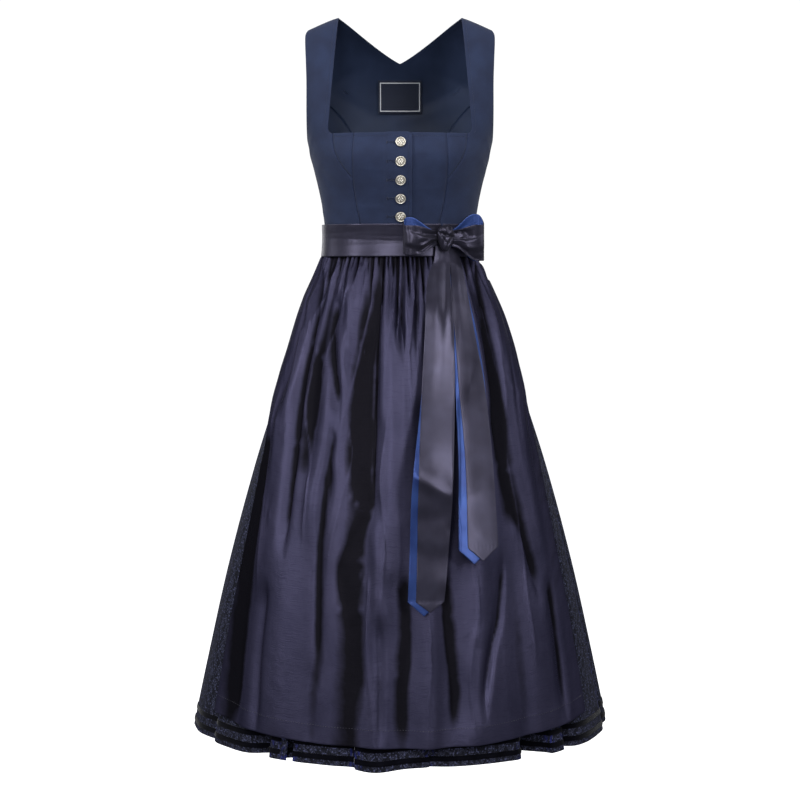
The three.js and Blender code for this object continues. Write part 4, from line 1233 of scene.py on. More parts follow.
def build_bodice_sewing():
    proud = 0.05
    neck = NECK_FRONT - EDGE_STITCH
    left_end = PLACKET_EDGE - EDGE_STITCH
    corner = PLACKET_CORNER - EDGE_STITCH
    right = np.linspace(-NECK_STITCHES_END, left_end - corner, 120)
    lines = [bodice_line(right, neck, placket_lift(right) * (right > RIGHT_SEAM_AT_NECK) + proud)]
    bend = np.linspace(0, np.pi / 2, 8)
    below = np.linspace(neck - corner - 1, SASH_TOP, 60)
    across = np.concatenate([left_end - corner + corner * np.sin(bend), np.full(60, left_end)])
    rise = np.concatenate([neck - corner + corner * np.cos(bend), below])
    lines.append(bodice_line(across, rise, PLACKET_LIFT + proud))
    lines.append(bodice_line(np.linspace(PLACKET_EDGE + 1, NECK_STITCHES_END, 100), neck, proud))
    heights = np.linspace(NECK_FRONT + 2, -3, 90)
    strap = side_front_inner(heights) + EDGE_STITCH
    lines += [bodice_line(side * strap, heights, proud) for side in (-1, 1)]
    share = np.linspace(-STRAP_SHARE * 0.985, STRAP_SHARE * 0.985, 180)
    level = back_neck_level(share)
    rise = torso["rise"](level) - EDGE_STITCH * 1.15
    level = level_at(rise)
    turned = 180 - share * centre_back_edge(level)
    lines.append(on_bodice(turned, level, np.full(share.shape, proud)))
    sew("bodice_edge_stitches", lines, NAVY_THREAD)
    holes, bars = [], []
    across = np.linspace(-19.5, -2, 40)
    for rise, _ in BUTTON_RISES:
        for low in (-1.0, 1.0):
            holes.append(bodice_line(across, rise + low, placket_lift(across) + 0.1))
        bar = rise + np.linspace(-2, 2, 6)
        bars.append(bodice_line(np.full(6, -20.0), bar, PLACKET_LIFT + 0.25))
    sew("buttonholes", holes, NAVY_THREAD, 2.0, -1.45, 0.32, math.pi / 2)
    sew("buttonhole_bars", bars, NAVY_THREAD, 1.6, -1.1, 0.35, math.pi / 2)


def build_bodice():
    build_fronts()
    for word, side in (("left", 1), ("right", -1)):
        build_side_front(word, side)
        build_cup(word, side)
        build_side_back(word, side)
    build_centre_back()
    for index, (rise, clear) in enumerate(BUTTON_RISES):
        build_button(index + 1, rise, clear)
    build_label()
    build_bodice_sewing()


# ---- skirt ----
skirt = {column: track(SKIRT, "rise", column) for column in ("half", "front", "back")}


def on_reach(angle, rise, out):
    """A spot at an angle and a height, out beyond the skirt's smooth form."""
    sin, cos = np.sin(np.radians(angle)), np.cos(np.radians(angle))
    depth = np.where(cos > 0, skirt["front"](rise), skirt["back"](rise))
    return stack((skirt["half"](rise) + out) * sin, -(depth + out) * cos, rise)


HEM_RADIUS = 310.0
ARC_STEPS = 1600


def hem_points():
    points = []
    for edge, lean, deep, tuck, rise in SKIRT_FOLDS:
        fold = [
            (edge - lean * 6, 0),
            (edge - lean * 1.2, 0),
            (edge, -deep * 0.08),
            (edge - lean * tuck * 0.55, -deep * 0.5),
            (edge - lean * tuck * 0.3, -deep * 0.95),
            (edge + lean * rise * 0.35, -deep * 0.72),
            (edge + lean * rise, -deep * 0.06),
        ]
        points += fold if lean > 0 else fold[::-1]
    points = [(math.radians(angle) * HEM_RADIUS, fold) for angle, fold in points]
    return points + [(points[0][0] + 2 * math.pi * HEM_RADIUS, points[0][1])]


HEM_POINTS = hem_points()
ARC_PLACES = np.linspace(0, 1, ARC_STEPS + 1)
ARC_LENGTHS = np.concatenate([
    [0], np.cumsum(np.linalg.norm(np.diff(catmull(HEM_POINTS, ARC_PLACES), axis=0), axis=1)),
])


def ring(share):
    """Angle and fold depth of the hem at a share of its length."""
    place = np.interp(np.clip(share, 0, 1) * ARC_LENGTHS[-1], ARC_LENGTHS, ARC_PLACES)
    spot = catmull(HEM_POINTS, place)
    return np.degrees(spot[..., 0] / HEM_RADIUS), spot[..., 1]


HEM_ANGLES = ring(np.arange(SKIRT_COLUMNS + 1) / SKIRT_COLUMNS)[0]
FIRST_ANGLE = float(HEM_ANGLES[0])


def share_at(angle):
    return int(np.argmax(HEM_ANGLES > angle)) / SKIRT_COLUMNS


SIDE_SEAMS = {"right": share_at(-92), "left": share_at(90)}
# Fine soft ridges of the skirt: share round the hem, width in shares, height, and how far down it is
# deepest (0 at the waist, 1 at the hem).
SKIRT_RIPPLES = [
    (
        (0.017 + 0.0403 * k + 0.006 * math.sin(5.1 * k)) % 1,
        0.0045 + 0.0022 * ((k * 7) % 4) / 3,
        -0.9 - 0.7 * ((k * 5) % 3),
        0.35 + 0.5 * ((k * 3) % 5) / 4,
    )
    for k in range(25)
]


def on_skirt(share, rise):
    """A spot of the skirt at a share of the way round it: gathers above, the hem's folds below."""
    angle_at_hem, fold = ring(share)
    down = np.clip((WAIST - rise) / (WAIST - HEM), 0, 1)
    level = FIRST_ANGLE + 360 * share
    angle = lerp(level, angle_at_hem, ease(down / 0.8))
    gone = SKIRT_GATHERS["gone"]
    fade = np.clip((rise - gone) / (WAIST - gone), 0, 1)
    shut = np.clip((WAIST - rise + 6) / 26, 0, 1)
    turn = SKIRT_GATHERS["count"] * np.radians(level)
    uneven = 0.55 * np.sin(np.radians(level) * 5 + 0.7) + 0.35 * np.sin(np.radians(level) * 11)
    gather = 0.5 - 0.5 * np.cos(turn + uneven)
    fine = 0.5 - 0.5 * np.cos(turn * 2.5 + 2 * uneven)
    out = -(SKIRT_GATHERS["deep"] * 0.8 * gather + 1.3 * fine * fade) * fade * shut
    for place, wide, high, deepest in SKIRT_RIPPLES:
        away = (share - place + 0.5) % 1 - 0.5
        along = bell(down - deepest, 0.32) * (1 - ease((down - 0.8) / 0.2) * 0.7)
        out = out + high * bell(away, wide) * along
    dip = HEM_DIP["deep"] * bell(angle - HEM_DIP["angle"], HEM_DIP["wide"])
    spots = on_reach(angle, rise, fold * down**1.15 + out)
    spots[..., 2] -= dip * np.clip((HEM_DIP["from"] - rise) / (HEM_DIP["from"] - HEM), 0, 1)
    return spots


SKIRT_PART_WIDE = 1300


def skirt_shares(part, columns):
    """Shares of the way round the hem, across one of the skirt's two parts."""
    start, end = SIDE_SEAMS["right"], SIDE_SEAMS["left"]
    if part == "back":
        start, end = end, start + 1
    gap = SEAM_GAP / 2 / SEAM_ROUND
    return lerp(start + gap, end - gap, spaced(SKIRT_PART_WIDE, columns, SKIRT_EDGE)) % 1


def fold_edges(spots):
    """1 along the sharp outer edges of the folds, 0 elsewhere."""
    middle = spots[:, 1:-1]
    ahead, behind = spots[:, 2:] - middle, spots[:, :-2] - middle
    bend = np.einsum("ijk,ijk->ij", ahead, behind)
    bend = bend / np.maximum(np.linalg.norm(ahead, axis=-1) * np.linalg.norm(behind, axis=-1), 1e-9)
    sharp = np.zeros(spots.shape[:2])
    sharp[:, 1:-1] = np.clip((bend + 0.985) / 0.25, 0, 1)
    spread = sharp.copy()
    for shift in (-2, -1, 1, 2):
        spread = np.maximum(spread, np.roll(sharp, shift, 1) * (1 - 0.22 * abs(shift)))
    return spread


SKIRT_MESH_COLUMNS = 350


def skirt_part(node, part, rises, lift, thick, material, slot):
    """One half of the skirt or of a ribbon round it, between two heights."""
    share = skirt_shares(part, SKIRT_MESH_COLUMNS)[None, :] + 0 * rises[:, None]
    rise = rises[:, None] + 0 * share
    spots = on_skirt(share, rise)
    normals = normal_of(on_skirt, share, rise, 0.0003, 0.5, 1)
    # The fold edges carry the skirt cloth's painted blue sheen.
    edges = {"fold_edge_sheen": fold_edges(spots)}
    cloth, held = ("cloth", "gathered") if slot == "skirt_cloth" else ("velvet", "laid")
    piece = wall(f"{node}_{cloth}", spots, normals, lift, thick, [material], attributes=edges)
    finish_sheet(piece, [node])


def build_skirt():
    rises = lerp(WAIST - 0.5, HEM, spaced(-HEM + WAIST, 92, SKIRT_EDGE))
    ribbon_rises = HEM + np.array([0, 0.8, 2.4, 3.8, 5.2, 6.8, RIBBON_WIDTH])
    for part in ("front", "back"):
        skirt_part(f"skirt_{part}", part, rises, 0.0, SKIRT_WALL, FIGURED, "skirt_cloth")
        for word, above in RIBBONS_ABOVE_HEM.items():
            skirt_part(
                f"hem_ribbon_{word}_{part}", part, ribbon_rises + above, RIBBON_CLEAR + RIBBON_THICK,
                RIBBON_THICK, VELVET, "velvet",
            )


# ---- apron ----
apron_edge = track(APRON_EDGE, "rise", "angle")
# Further small folds and valleys that the gathers run into: place at the sash, lower down and at the
# hem, height at each, and width.
APRON_FINE = (
    (-0.93, -0.94, -0.93, 1.5, 2.5, 2.0, 0.02),
    (-0.77, -0.795, -0.78, 2.5, 2.5, 1.5, 0.018),
    (-0.69, -0.725, -0.71, 2.5, 2.0, 1.0, 0.016),
    (-0.62, -0.65, -0.63, 2.5, -2.5, -2.0, 0.018),
    (-0.54, -0.545, -0.53, 2.5, -4.5, -3.0, 0.03),
    (-0.45, -0.46, -0.46, 2.5, 2.0, 2.5, 0.02),
    (-0.37, -0.42, -0.43, 2.5, 2.5, 1.0, 0.02),
    (-0.31, -0.335, -0.33, 2.0, 3.0, 2.0, 0.02),
    (-0.24, -0.27, -0.27, 2.0, -3.0, -3.5, 0.026),
    (-0.16, -0.19, -0.18, 3.0, -3.0, -1.0, 0.03),
    (-0.12, -0.12, -0.135, 2.5, -3.5, -1.0, 0.009),
    (-0.045, -0.04, -0.045, 2.0, 1.5, 2.0, 0.018),
    (0.03, 0.05, 0.03, 2.5, -3.0, -4.0, 0.02),
    (0.11, 0.135, 0.15, 2.5, 2.5, 2.0, 0.018),
    (0.18, 0.215, 0.2, 2.5, -3.5, -4.5, 0.024),
    (0.26, 0.315, 0.35, 2.5, 2.0, 2.5, 0.018),
    (0.34, 0.375, 0.37, 2.5, -2.0, -2.5, 0.018),
    (0.43, 0.475, 0.46, 2.0, -3.0, -4.5, 0.018),
    (0.52, 0.58, 0.56, 2.5, -2.0, -2.5, 0.02),
    (0.61, 0.64, 0.655, 2.5, -5.0, -3.5, 0.03),
    (0.69, 0.69, 0.7, 2.5, 2.0, 2.0, 0.015),
    (0.78, 0.78, 0.8, 2.5, -2.5, -2.0, 0.016),
    (0.87, 0.86, 0.87, 2.0, 2.5, 1.5, 0.016),
    (0.94, 0.95, 0.94, 1.5, 2.0, 1.5, 0.016),
)
# Long hollows between the broad folds: how far a hollow closes (1: down to the skirt), its half width,
# the side on which it is sharp (0: neither), and its line as across and height.
APRON_HOLLOWS = (
    (0.9, 11, 1, ((-124.6, -411), (-128.4, -451), (-139.8, -521), (-151.5, -575), (-160.6, -666),
                  (-169.7, -756), (-176.5, -816))),
    (1.0, 9, 1, ((-33, -430), (-36, -480), (-43, -530), (-54, -580), (-65, -630), (-72, -680),
                 (-70, -720))),
    (0.95, 11, 0, ((-98, -462), (-106, -500), (-104, -545), (-98, -590), (-94, -620))),
    (0.85, 7, -1, ((-104, -660), (-110, -700), (-108, -740))),
    (0.9, 4, 1, ((-30, -431), (-33, -496), (-36, -601), (-38, -676), (-40, -749))),
    (1.0, 17, -1, ((-48.6, -646), (-63.5, -691), (-57.1, -735), (-51, -764), (-71.8, -809), (-89.5, -853),
                   (-84.6, -897), (-73.9, -940), (-70.6, -997), (-73.3, -1041))),
    (0.9, 17, 1, ((8.9, -872), (11.8, -967), (5.9, -1025), (5.8, -1100))),
    (0.95, 17, -1, ((64, -862), (73.7, -969), (80.8, -1027), (80.5, -1077))),
    (0.8, 8, 1, ((158, -860), (149.5, -931), (138.2, -973), (126.8, -1044))),
    (0.95, 20, -1, ((150, -620), (154.1, -666), (165.5, -726), (183.6, -787), (201.6, -849),
                    (213.5, -895))),
    (0.85, 11, 1, ((235, -892), (247.4, -989), (255.6, -1075))),
    (0.95, 20, 1, ((-210, -670), (-230.5, -795), (-242.7, -878), (-250.2, -961), (-255.7, -1080))),
    (0.8, 8, -1, ((-164.5, -420), (-174, -452), (-188.2, -516), (-200.8, -564))),
    (0.95, 7, -1, ((-104, -384), (-118.9, -435), (-129.2, -482))),
    (0.9, 7, 1, ((8, -384), (3.1, -465), (4.6, -520))),
    (0.9, 7, -1, ((28, -384), (27, -440), (26, -500))),
    (0.9, 13, 1, ((126, -410), (144.7, -521), (156.5, -575), (163, -636))),
    (0.9, 12, -1, ((-113.3, -712), (-123.4, -811), (-125.7, -920), (-126, -1000))),
    (0.6, 12, 0, ((-128, -1000), (-132, -1060), (-134, -1120))),
    (0.85, 9, 1, ((34, -620), (38, -760), (36, -880))),
    (0.8, 11, -1, ((120, -560), (128, -690), (134, -800))),
    (0.6, 12, 1, ((-205, -900), (-214, -990), (-218, -1090))),
    (0.6, 10, -1, ((-32, -940), (-30, -1010), (-30, -1100))),
    (0.7, 9, 1, ((-150, -470), (-170, -545), (-184, -600))),
    (0.7, 6, -1, ((-10, -384), (-14, -420), (-16, -452))),
    (0.7, 6, 1, ((-44, -384), (-46, -410), (-50, -436))),
)
# Sharp slanting ridges that spread from the waist: height, half width, and the line.
APRON_CREASES = (
    (3.2, 5, ((-96, -392), (-118, -440), (-150, -500), (-182, -560))),
    (2.8, 4, ((-76, -420), (-92, -470), (-112, -520), (-124, -560))),
    (3.0, 4, ((-60, -392), (-74, -440), (-78, -500))),
    (4.0, 5, ((-50, -378), (-54, -410), (-60, -446))),
    (3.4, 4, ((-40, -378), (-42, -410), (-46, -436))),
    (3.4, 4, ((-44, -450), (-56, -500), (-70, -560), (-90, -640))),
    (2.6, 3, ((-14, -392), (-10, -450), (-18, -520))),
    (2.6, 4, ((18, -400), (22, -450), (14, -520), (18, -600))),
    (2.6, 5, ((-140, -560), (-150, -620), (-140, -700), (-148, -800))),
    (2.4, 5, ((-190, -600), (-204, -680), (-214, -780), (-220, -880))),
    (2.4, 5, ((-90, -620), (-74, -680), (-92, -760), (-110, -840))),
    (2.4, 4, ((-20, -640), (-30, -720), (-22, -800), (-26, -880))),
    (2.2, 4, ((-48, -880), (-52, -960), (-44, -1040))),
    (2.2, 4, ((40, -900), (46, -980), (40, -1060))),
    (2.4, 5, ((110, -840), (116, -920), (104, -1000), (110, -1080))),
    (2.6, 5, ((146, -420), (176, -500), (196, -580), (208, -660))),
    (2.4, 4, ((134, -470), (150, -540), (168, -600))),
    (2.4, 5, ((170, -700), (186, -790), (192, -880), (206, -980))),
)
# And broad proud folds: height, half width and line.
APRON_BROAD = (
    (4, 9, ((-118.1, -440), (-149.1, -544), (-180.2, -623), (-202.6, -708), (-213.8, -777),
            (-223.1, -870))),
    (6, 24, ((-152.3, -730), (-166.4, -844), (-172.7, -933), (-178.9, -1021), (-181.1, -1130))),
    (5, 12, ((-92.8, -520), (-115, -633), (-129.5, -708), (-136.1, -800))),
    (3, 20, ((-7.8, -450), (-7.6, -601), (-12, -749), (-17.8, -895), (-21.9, -1130))),
    (5, 14, ((-41.9, -779), (-32.7, -851), (-26.6, -944))),
    (6, 16, ((44.3, -902), (47, -997), (43.8, -1130))),
    (6, 18, ((116.6, -829), (118.7, -957), (111.6, -1130))),
    (6, 20, ((182.9, -797), (196.9, -907), (207.8, -996), (217.4, -1130))),
    (4, 8, ((-145.1, -400), (-166.6, -499), (-191.3, -579), (-208.7, -690))),
    (3, 6, ((-75.4, -390), (-78, -465), (-71.2, -530))),
)
# Small crumples: height, half width, line.
APRON_CRUMPLES = (
    (1.6, 4, ((-84, -738), (-62, -760), (-40, -768))),
    (1.8, 4, ((-100, -905), (-78, -918), (-56, -910))),
    (1.4, 4, ((-96, -832), (-74, -842), (-52, -836))),
    (1.4, 3, ((-66, -690), (-50, -700), (-34, -704))),
    (1.2, 4, ((-150, -640), (-128, -652), (-108, -650))),
    (1.2, 4, ((58, -905), (76, -918), (94, -914))),
    (1.2, 4, ((150, -700), (168, -712), (184, -708))),
    (1.2, 4, ((-40, -1000), (-22, -1010), (-2, -1004))),
    (1.6, 4, ((-152, -500), (-132, -530), (-116, -546))),
    (1.6, 3, ((-96, -560), (-80, -584), (-62, -590))),
    (1.5, 3, ((-70, -508), (-56, -530), (-44, -548))),
    (1.5, 4, ((-188, -640), (-170, -668), (-150, -676))),
    (1.4, 4, ((-214, -760), (-196, -786), (-176, -792))),
    (1.4, 4, ((-60, -860), (-46, -884), (-28, -888))),
    (1.4, 3, ((2, -470), (14, -492), (28, -496))),
    (1.5, 4, ((160, -560), (174, -590), (192, -600))),
    (1.4, 4, ((172, -800), (190, -826), (210, -830))),
    (1.2, 4, ((96, -940), (112, -950), (130, -944))),
)
# Small pits between the gathers below the sash: distance across at the top, height of the lower point,
# how far it drifts sideways, half width, and how far it closes.
APRON_GATHERS = (
    (-132, -398, -5, 2.4, 0.8),
    (-125, -416, -8, 3.0, 0.95),
    (-116, -402, -4, 2.4, 0.8),
    (-109, -424, -9, 3.2, 1.0),
    (-101, -400, -3, 2.2, 0.75),
    (-94, -414, -4, 3.2, 1.0),
    (-86, -398, -2, 2.2, 0.7),
    (-79, -436, -7, 3.6, 1.0),
    (-72, -402, -2, 2.4, 0.8),
    (-66, -422, -4, 3.4, 1.0),
    (-58, -398, -1, 2.2, 0.75),
    (-51, -410, 0, 2.8, 0.9),
    (-43, -458, -5, 4.4, 1.0),
    (-34, -400, 0, 2.4, 0.8),
    (-26, -470, -2, 3.4, 1.0),
    (-18, -402, 0, 2.4, 0.8),
    (-11, -420, 1, 2.8, 0.9),
    (-3, -498, -2, 4.0, 1.0),
    (5, -400, 1, 2.2, 0.75),
    (12, -444, 3, 3.4, 1.0),
    (20, -404, 1, 2.4, 0.8),
    (27, -416, 2, 2.6, 0.9),
    (35, -456, 4, 3.8, 1.0),
    (44, -402, 1, 2.4, 0.8),
    (53, -420, 2, 2.8, 0.9),
    (62, -400, 2, 2.4, 0.8),
    (71, -430, 3, 3.2, 1.0),
    (80, -402, 3, 2.4, 0.8),
    (89, -448, 6, 3.6, 1.0),
    (97, -404, 3, 2.4, 0.8),
    (104, -428, 6, 3.0, 1.0),
    (112, -402, 4, 2.4, 0.8),
    (120, -440, 9, 3.4, 1.0),
    (128, -404, 5, 2.4, 0.8),
    (135, -420, 7, 2.8, 0.9),
)
GATHER_TOP = -374.0
HOLLOW_FLOOR = 0.6  # how far a closed hollow lies below the apron's smooth form
DEEPEST = -1.5
PUFFED = {"out": 2.2, "high": 100}  # the gathered cloth stands out just below the sash
HEM_TURN = 26.0  # the apron's hem is turned up this far
HEM_STEP = 0.12
APRON_CLEAR_TOP = 0.6  # under the sash
FOLDS_FREE = {"rise": -372, "high": 12}  # where the sash lets the folds go


def apron_foot(share):
    return lerp(APRON_FOOT_MIDDLE, APRON_FOOT_SIDE, share * share)


def by_height(down, top, mid, hem):
    """A number of the apron's folds at a share of the way down."""
    return lerp(lerp(top, mid, ease(down / 0.36)), hem, ease((down - 0.36) / 0.64))


def lined(rows, by, column, end):
    """Each row with its points made a smooth line, and where that line starts and ends."""
    return [
        (*sizes, track(table("across rise", *points), by, column), points[0][end], points[-1][end])
        for *sizes, points in rows
    ]


HOLLOWS, BROAD, CREASES = (
    lined(rows, "rise", "across", 1) for rows in (APRON_HOLLOWS, APRON_BROAD, APRON_CREASES)
)
CRUMPLES = lined(APRON_CRUMPLES, "across", "rise", 0)


def ends(rise, top, foot):
    """1 along a fold, easing away at both its ends."""
    return ease((top + 30 - rise) / 45) * ease((rise - foot + 40) / 80)


def apron_folds(share, down, rise):
    """How far the apron stands out in its folds, hollows, gathers and creases."""
    out = np.zeros(np.broadcast(share, rise).shape)
    spread = lerp(lerp(0.55, 1.15, ease(down / 0.18)), 1.6, ease((down - 0.2) / 0.4))
    calm = lerp(1.7, 0.75, ease((down - 0.02) / 0.4))
    for top, mid, hem, high_top, high_mid, high_hem, wide, gone in APRON_RIDGES:
        fade = 1.0 if gone == 0 else np.clip((rise - gone) / 90, 0, 1)
        high = by_height(down, high_top, high_mid, high_hem) * calm
        out += high * fade * bell(share - by_height(down, top, mid, hem), wide * spread)
    fine = ease(1.15 - down / 0.5)
    for top, mid, hem, high_top, high_mid, high_hem, wide in APRON_FINE:
        high = by_height(down, high_top, high_mid, high_hem) * fine
        out += high * bell(share - by_height(down, top, mid, hem), wide * spread)
    across = (skirt["half"](rise) + 10) * np.sin(np.radians(share * apron_edge(rise)))
    for high, wide, line, top, foot in BROAD:
        out += high * bell(across - line(rise), wide) * ends(rise, top, foot)
    for deep, wide, sharp, line, top, foot in HOLLOWS:
        away = (across - line(rise)) / wide
        away = away * np.where(away * sharp > 0, 1.9, 0.85)
        closed = deep / (1 + away**2) ** 1.5 * ends(rise, top, foot)
        out = out * (1 - closed) - HOLLOW_FLOOR * closed
    out += PUFFED["out"] * (1 - ease((GATHER_TOP - rise) / PUFFED["high"]))
    for top, foot, drift, wide, deep in APRON_GATHERS:
        fall = (GATHER_TOP - rise) / (GATHER_TOP - foot)
        away = (across - top - drift * fall) / (wide * np.clip(1.25 - fall, 0.2, 1.1))
        closed = deep / (1 + away**2) ** 2 * ease((1.1 - fall) / 0.4) * ease(fall * 8 + 0.4)
        out = out * (1 - closed) - HOLLOW_FLOOR * closed
    for high, wide, line, top, foot in CREASES:
        away = (across - line(rise)) / wide
        out += high / (1 + np.abs(away)) ** 2.2 * ends(rise, top, foot)
    for high, wide, line, left, right in CRUMPLES:
        along = ease((across - left + 12) / 20) * ease((right + 12 - across) / 20)
        out += high * bell(rise - line(across), wide) * along
    return np.maximum(out, DEEPEST)


def on_apron(share, down):
    foot = apron_foot(share)
    rise = lerp(APRON_TOP, foot, down)
    angle = share * apron_edge(rise)
    pressed = np.clip((APRON_TOP - rise) / 40, 0, 1)
    free = np.clip((FOLDS_FREE["rise"] - rise) / FOLDS_FREE["high"], 0, 1)
    folds = apron_folds(share, down, rise) * lerp(0.1, 1, free)
    hem_line = HEM_STEP * (1 - ease((rise - foot - HEM_TURN) / 3))
    clear = lerp(APRON_CLEAR_TOP, APRON_CLEAR, pressed) + APRON_WALL
    return on_reach(angle, rise, clear + folds + hem_line)


def apron_normal(share, down):
    return normal_of(on_apron, share, down, 0.0015, 0.0015, -1)


APRON_WIDE = 640
LIT_HEIGHT = 7.5  # folds that stand out this far are fully lit


def build_apron():
    length = APRON_TOP - APRON_FOOT_MIDDLE
    rows = np.concatenate([
        (0, 1, 2.4), np.linspace(5, 92, 30), np.linspace(102, length - 34, 60),
        length - np.array((28, 27, 26, 25, 23, 17, 9, 2.4, 1, 0)),
    ])
    down = (rows / length)[:, None]
    share = (spaced(APRON_WIDE, 372, (0, 1, 2, 3.2)) * 2 - 1)[None, :]
    down, share = down + 0 * share, share + 0 * down
    spots, normals = on_apron(share, down), apron_normal(share, down)
    rise = lerp(APRON_TOP, apron_foot(share), down)
    # Painted shade: how deep each spot lies among the folds, kept as hollow for the taffeta to darken,
    # with more painted shade just under the sash.
    hollow = np.clip(1 - apron_folds(share, down, rise) / LIT_HEIGHT, 0, 1) ** 1.2
    sash_shade = 1 - ease((GATHER_TOP - rise) / 60)
    values = {"hollow": np.clip(hollow + 0.22 * sash_shade, 0, 1)}
    piece = wall("apron_cloth", spots, normals, 0.0, APRON_WALL, [TAFFETA], attributes=values)
    finish_sheet(piece, ["apron"])
    share = np.linspace(-0.985, 0.985, 420)
    foot = apron_foot(share)
    down = (foot + HEM_TURN - APRON_TOP) / (foot - APRON_TOP)
    line = on_apron(share, down) + 0.1 * apron_normal(share, down)
    sew("apron_hem_stitches", [line], VIOLET_THREAD, 3.0, 1.4, 0.3)


# ---- sash ----
sash_form = {column: track(SASH_FORM, "rise", column) for column in ("half", "front", "back")}
# Level creases of the sash: height at its middle, how much it wanders, phase, half width, depth.
SASH_CREASES = (
    (-337, 2.0, 0.3, 2.2, 0.9),
    (-343.5, 2.6, 1.9, 2.6, 1.3),
    (-350, 2.2, 3.4, 2.0, 1.0),
    (-356, 3.0, 4.4, 2.6, 1.4),
    (-363, 2.4, 0.9, 2.2, 1.1),
    (-369.5, 2.8, 2.6, 2.6, 1.3),
    (-376, 2.0, 5.3, 2.2, 0.9),
)


def on_sash(angle, rise):
    sin, cos = np.sin(np.radians(angle)), np.cos(np.radians(angle))
    power = 2 / SQUARENESS
    depth = np.where(cos > 0, -sash_form["front"](rise), sash_form["back"](rise))
    x = sash_form["half"](rise) * np.sign(sin) * np.abs(sin) ** power
    return stack(x, depth * np.abs(cos) ** power, rise)


def past_knot(angle):
    return on_sash(angle, KNOT["rise"])[..., 0] - KNOT["across"]


KNOT_ANGLE = float(solve(past_knot, 1.0, 89.0))
SASH_LIFT = 0.4
CREASE_SHARE = 0.22  # share of their full depth that the sash's creases show


def sash_normal(angle, rise):
    return normal_of(on_sash, angle, rise, 0.3, 0.5, 1)


def build_sash():
    rises = lerp(SASH_FOOT, SASH_TOP, spaced(SASH_TOP - SASH_FOOT, 30, THIN_EDGE))[:, None]
    angles = np.linspace(KNOT_ANGLE + 0.8, KNOT_ANGLE + 359.2, 320)[None, :]
    rise, angle = rises + 0 * angles, angles + 0 * rises
    from_knot = np.minimum(angle - KNOT_ANGLE, KNOT_ANGLE + 360 - angle)
    gathered = 0.35 + 0.65 * bell(from_knot, 60)
    creases = np.zeros(angle.shape)
    for height, wander, phase, wide, deep in SASH_CREASES:
        line = height + wander * np.sin(np.radians(angle) * 3 + phase) * (1 - gathered * 0.5)
        strength = 0.55 + 0.45 * np.sin(np.radians(angle) * 2 + 2 * phase)
        creases -= CREASE_SHARE * deep * bell(rise - line, wide) * strength * gathered
    spots, normals = on_sash(angle, rise), sash_normal(angle, rise)
    piece = wall("sash_cloth", spots, normals, creases + SASH_LIFT, RIBBON_WALL + 0.2, [BLACK_SATIN])
    finish_sheet(piece, ["sash"])


# ---- bow ----
KNOT_SPOT = on_sash(KNOT_ANGLE, KNOT["rise"])
OUTWARD = sash_normal(np.array(KNOT_ANGLE), np.array(KNOT["rise"])) * (1, 1, 0)
OUTWARD = OUTWARD / np.linalg.norm(OUTWARD)
ALONG = np.array([-OUTWARD[1], OUTWARD[0], 0])


def build_knot():
    """The knot: a pad of satin wrapped over, drawn in at the top and to a point below."""
    rows, count = 48, 96
    turn = np.linspace(0, np.pi, rows + 2)[1:-1, None]
    around = (np.arange(count) / count * 2 * np.pi)[None, :]
    up = np.cos(turn)
    girth = np.sin(turn) ** 0.6
    across = girth * np.sign(np.cos(around)) * np.abs(np.cos(around)) ** 0.85
    across = across * (0.84 + 0.22 * up - 0.1 * bell(up + 0.95, 0.5))
    out = girth * np.sin(around)
    folds = 0.12 * np.sin(across * 6 - up * 3.2 + 0.4) + 0.08 * np.sin(across * 11 - up * 5)
    wrap = 0.2 * bell(up - 0.6 + 0.2 * across, 0.2) - 0.4 * bell(up - 0.26 + 0.25 * across, 0.08)
    wrap = wrap - 0.3 * bell(up + 0.5 - 1.1 * np.abs(across - 0.08), 0.1)
    out = out * (1 + (folds + wrap) * (out > 0))
    half_up = np.array([0, 0, KNOT["high"] / 2])
    centre = KNOT_SPOT + OUTWARD * KNOT["out"]
    spots = (
        centre
        + (across * KNOT["wide"] / 2)[..., None] * ALONG
        + (out * KNOT["deep"] / 2)[..., None] * OUTWARD
        + (up + 0 * around)[..., None] * half_up
    )
    points = np.vstack([spots.reshape(-1, 3), centre + half_up, centre - half_up])
    uv = np.stack([np.tile(np.arange(count) * 1.0, rows), np.repeat(np.arange(rows) * 1.2, count)], -1)
    uv = np.vstack([uv, [[0, 0], [0, rows * 1.2]]])
    piece = add_object(
        "bow_knot_satin", points, round_faces(rows, count), [BOW_SATIN_SHADED], uv, None, None, ROUND_EDGES
    )
    finish_solid(piece, "bow_knot")


# Folds on the front of a loop: both ends as share of the way to the tip and place up (1) or down (-1),
# half width, and how far out or in.
LOOP_FOLDS = {
    "right": (
        ((0.05, -0.35), (0.55, -0.85), 0.14, -3.2),
        ((0.05, 0.05), (0.5, -0.5), 0.15, 2.2),
        ((0.5, 0.3), (0.95, -0.3), 0.5, 2.8),
        ((0.05, 0.5), (0.45, 0.5), 0.16, -1.6),
    ),
    "left": (
        ((0.08, 0.75), (0.38, 0.7), 0.1, -2.6),
        ((0.38, 0.7), (0.48, 0.3), 0.1, -2.6),
        ((0.48, 0.3), (0.28, 0.05), 0.1, -2.0),
        ((0.08, -0.1), (0.5, -0.5), 0.26, 2.8),
        ((0.6, 0.2), (0.95, -0.3), 0.5, 2.4),
        ((0.08, -0.6), (0.75, -0.95), 0.13, -2.0),
    ),
}
LOOP_OPENS = 1.35  # how soon a loop comes to its full width
LOOP_AT_KNOT = 4.0  # what it keeps at the knot beyond its pinch


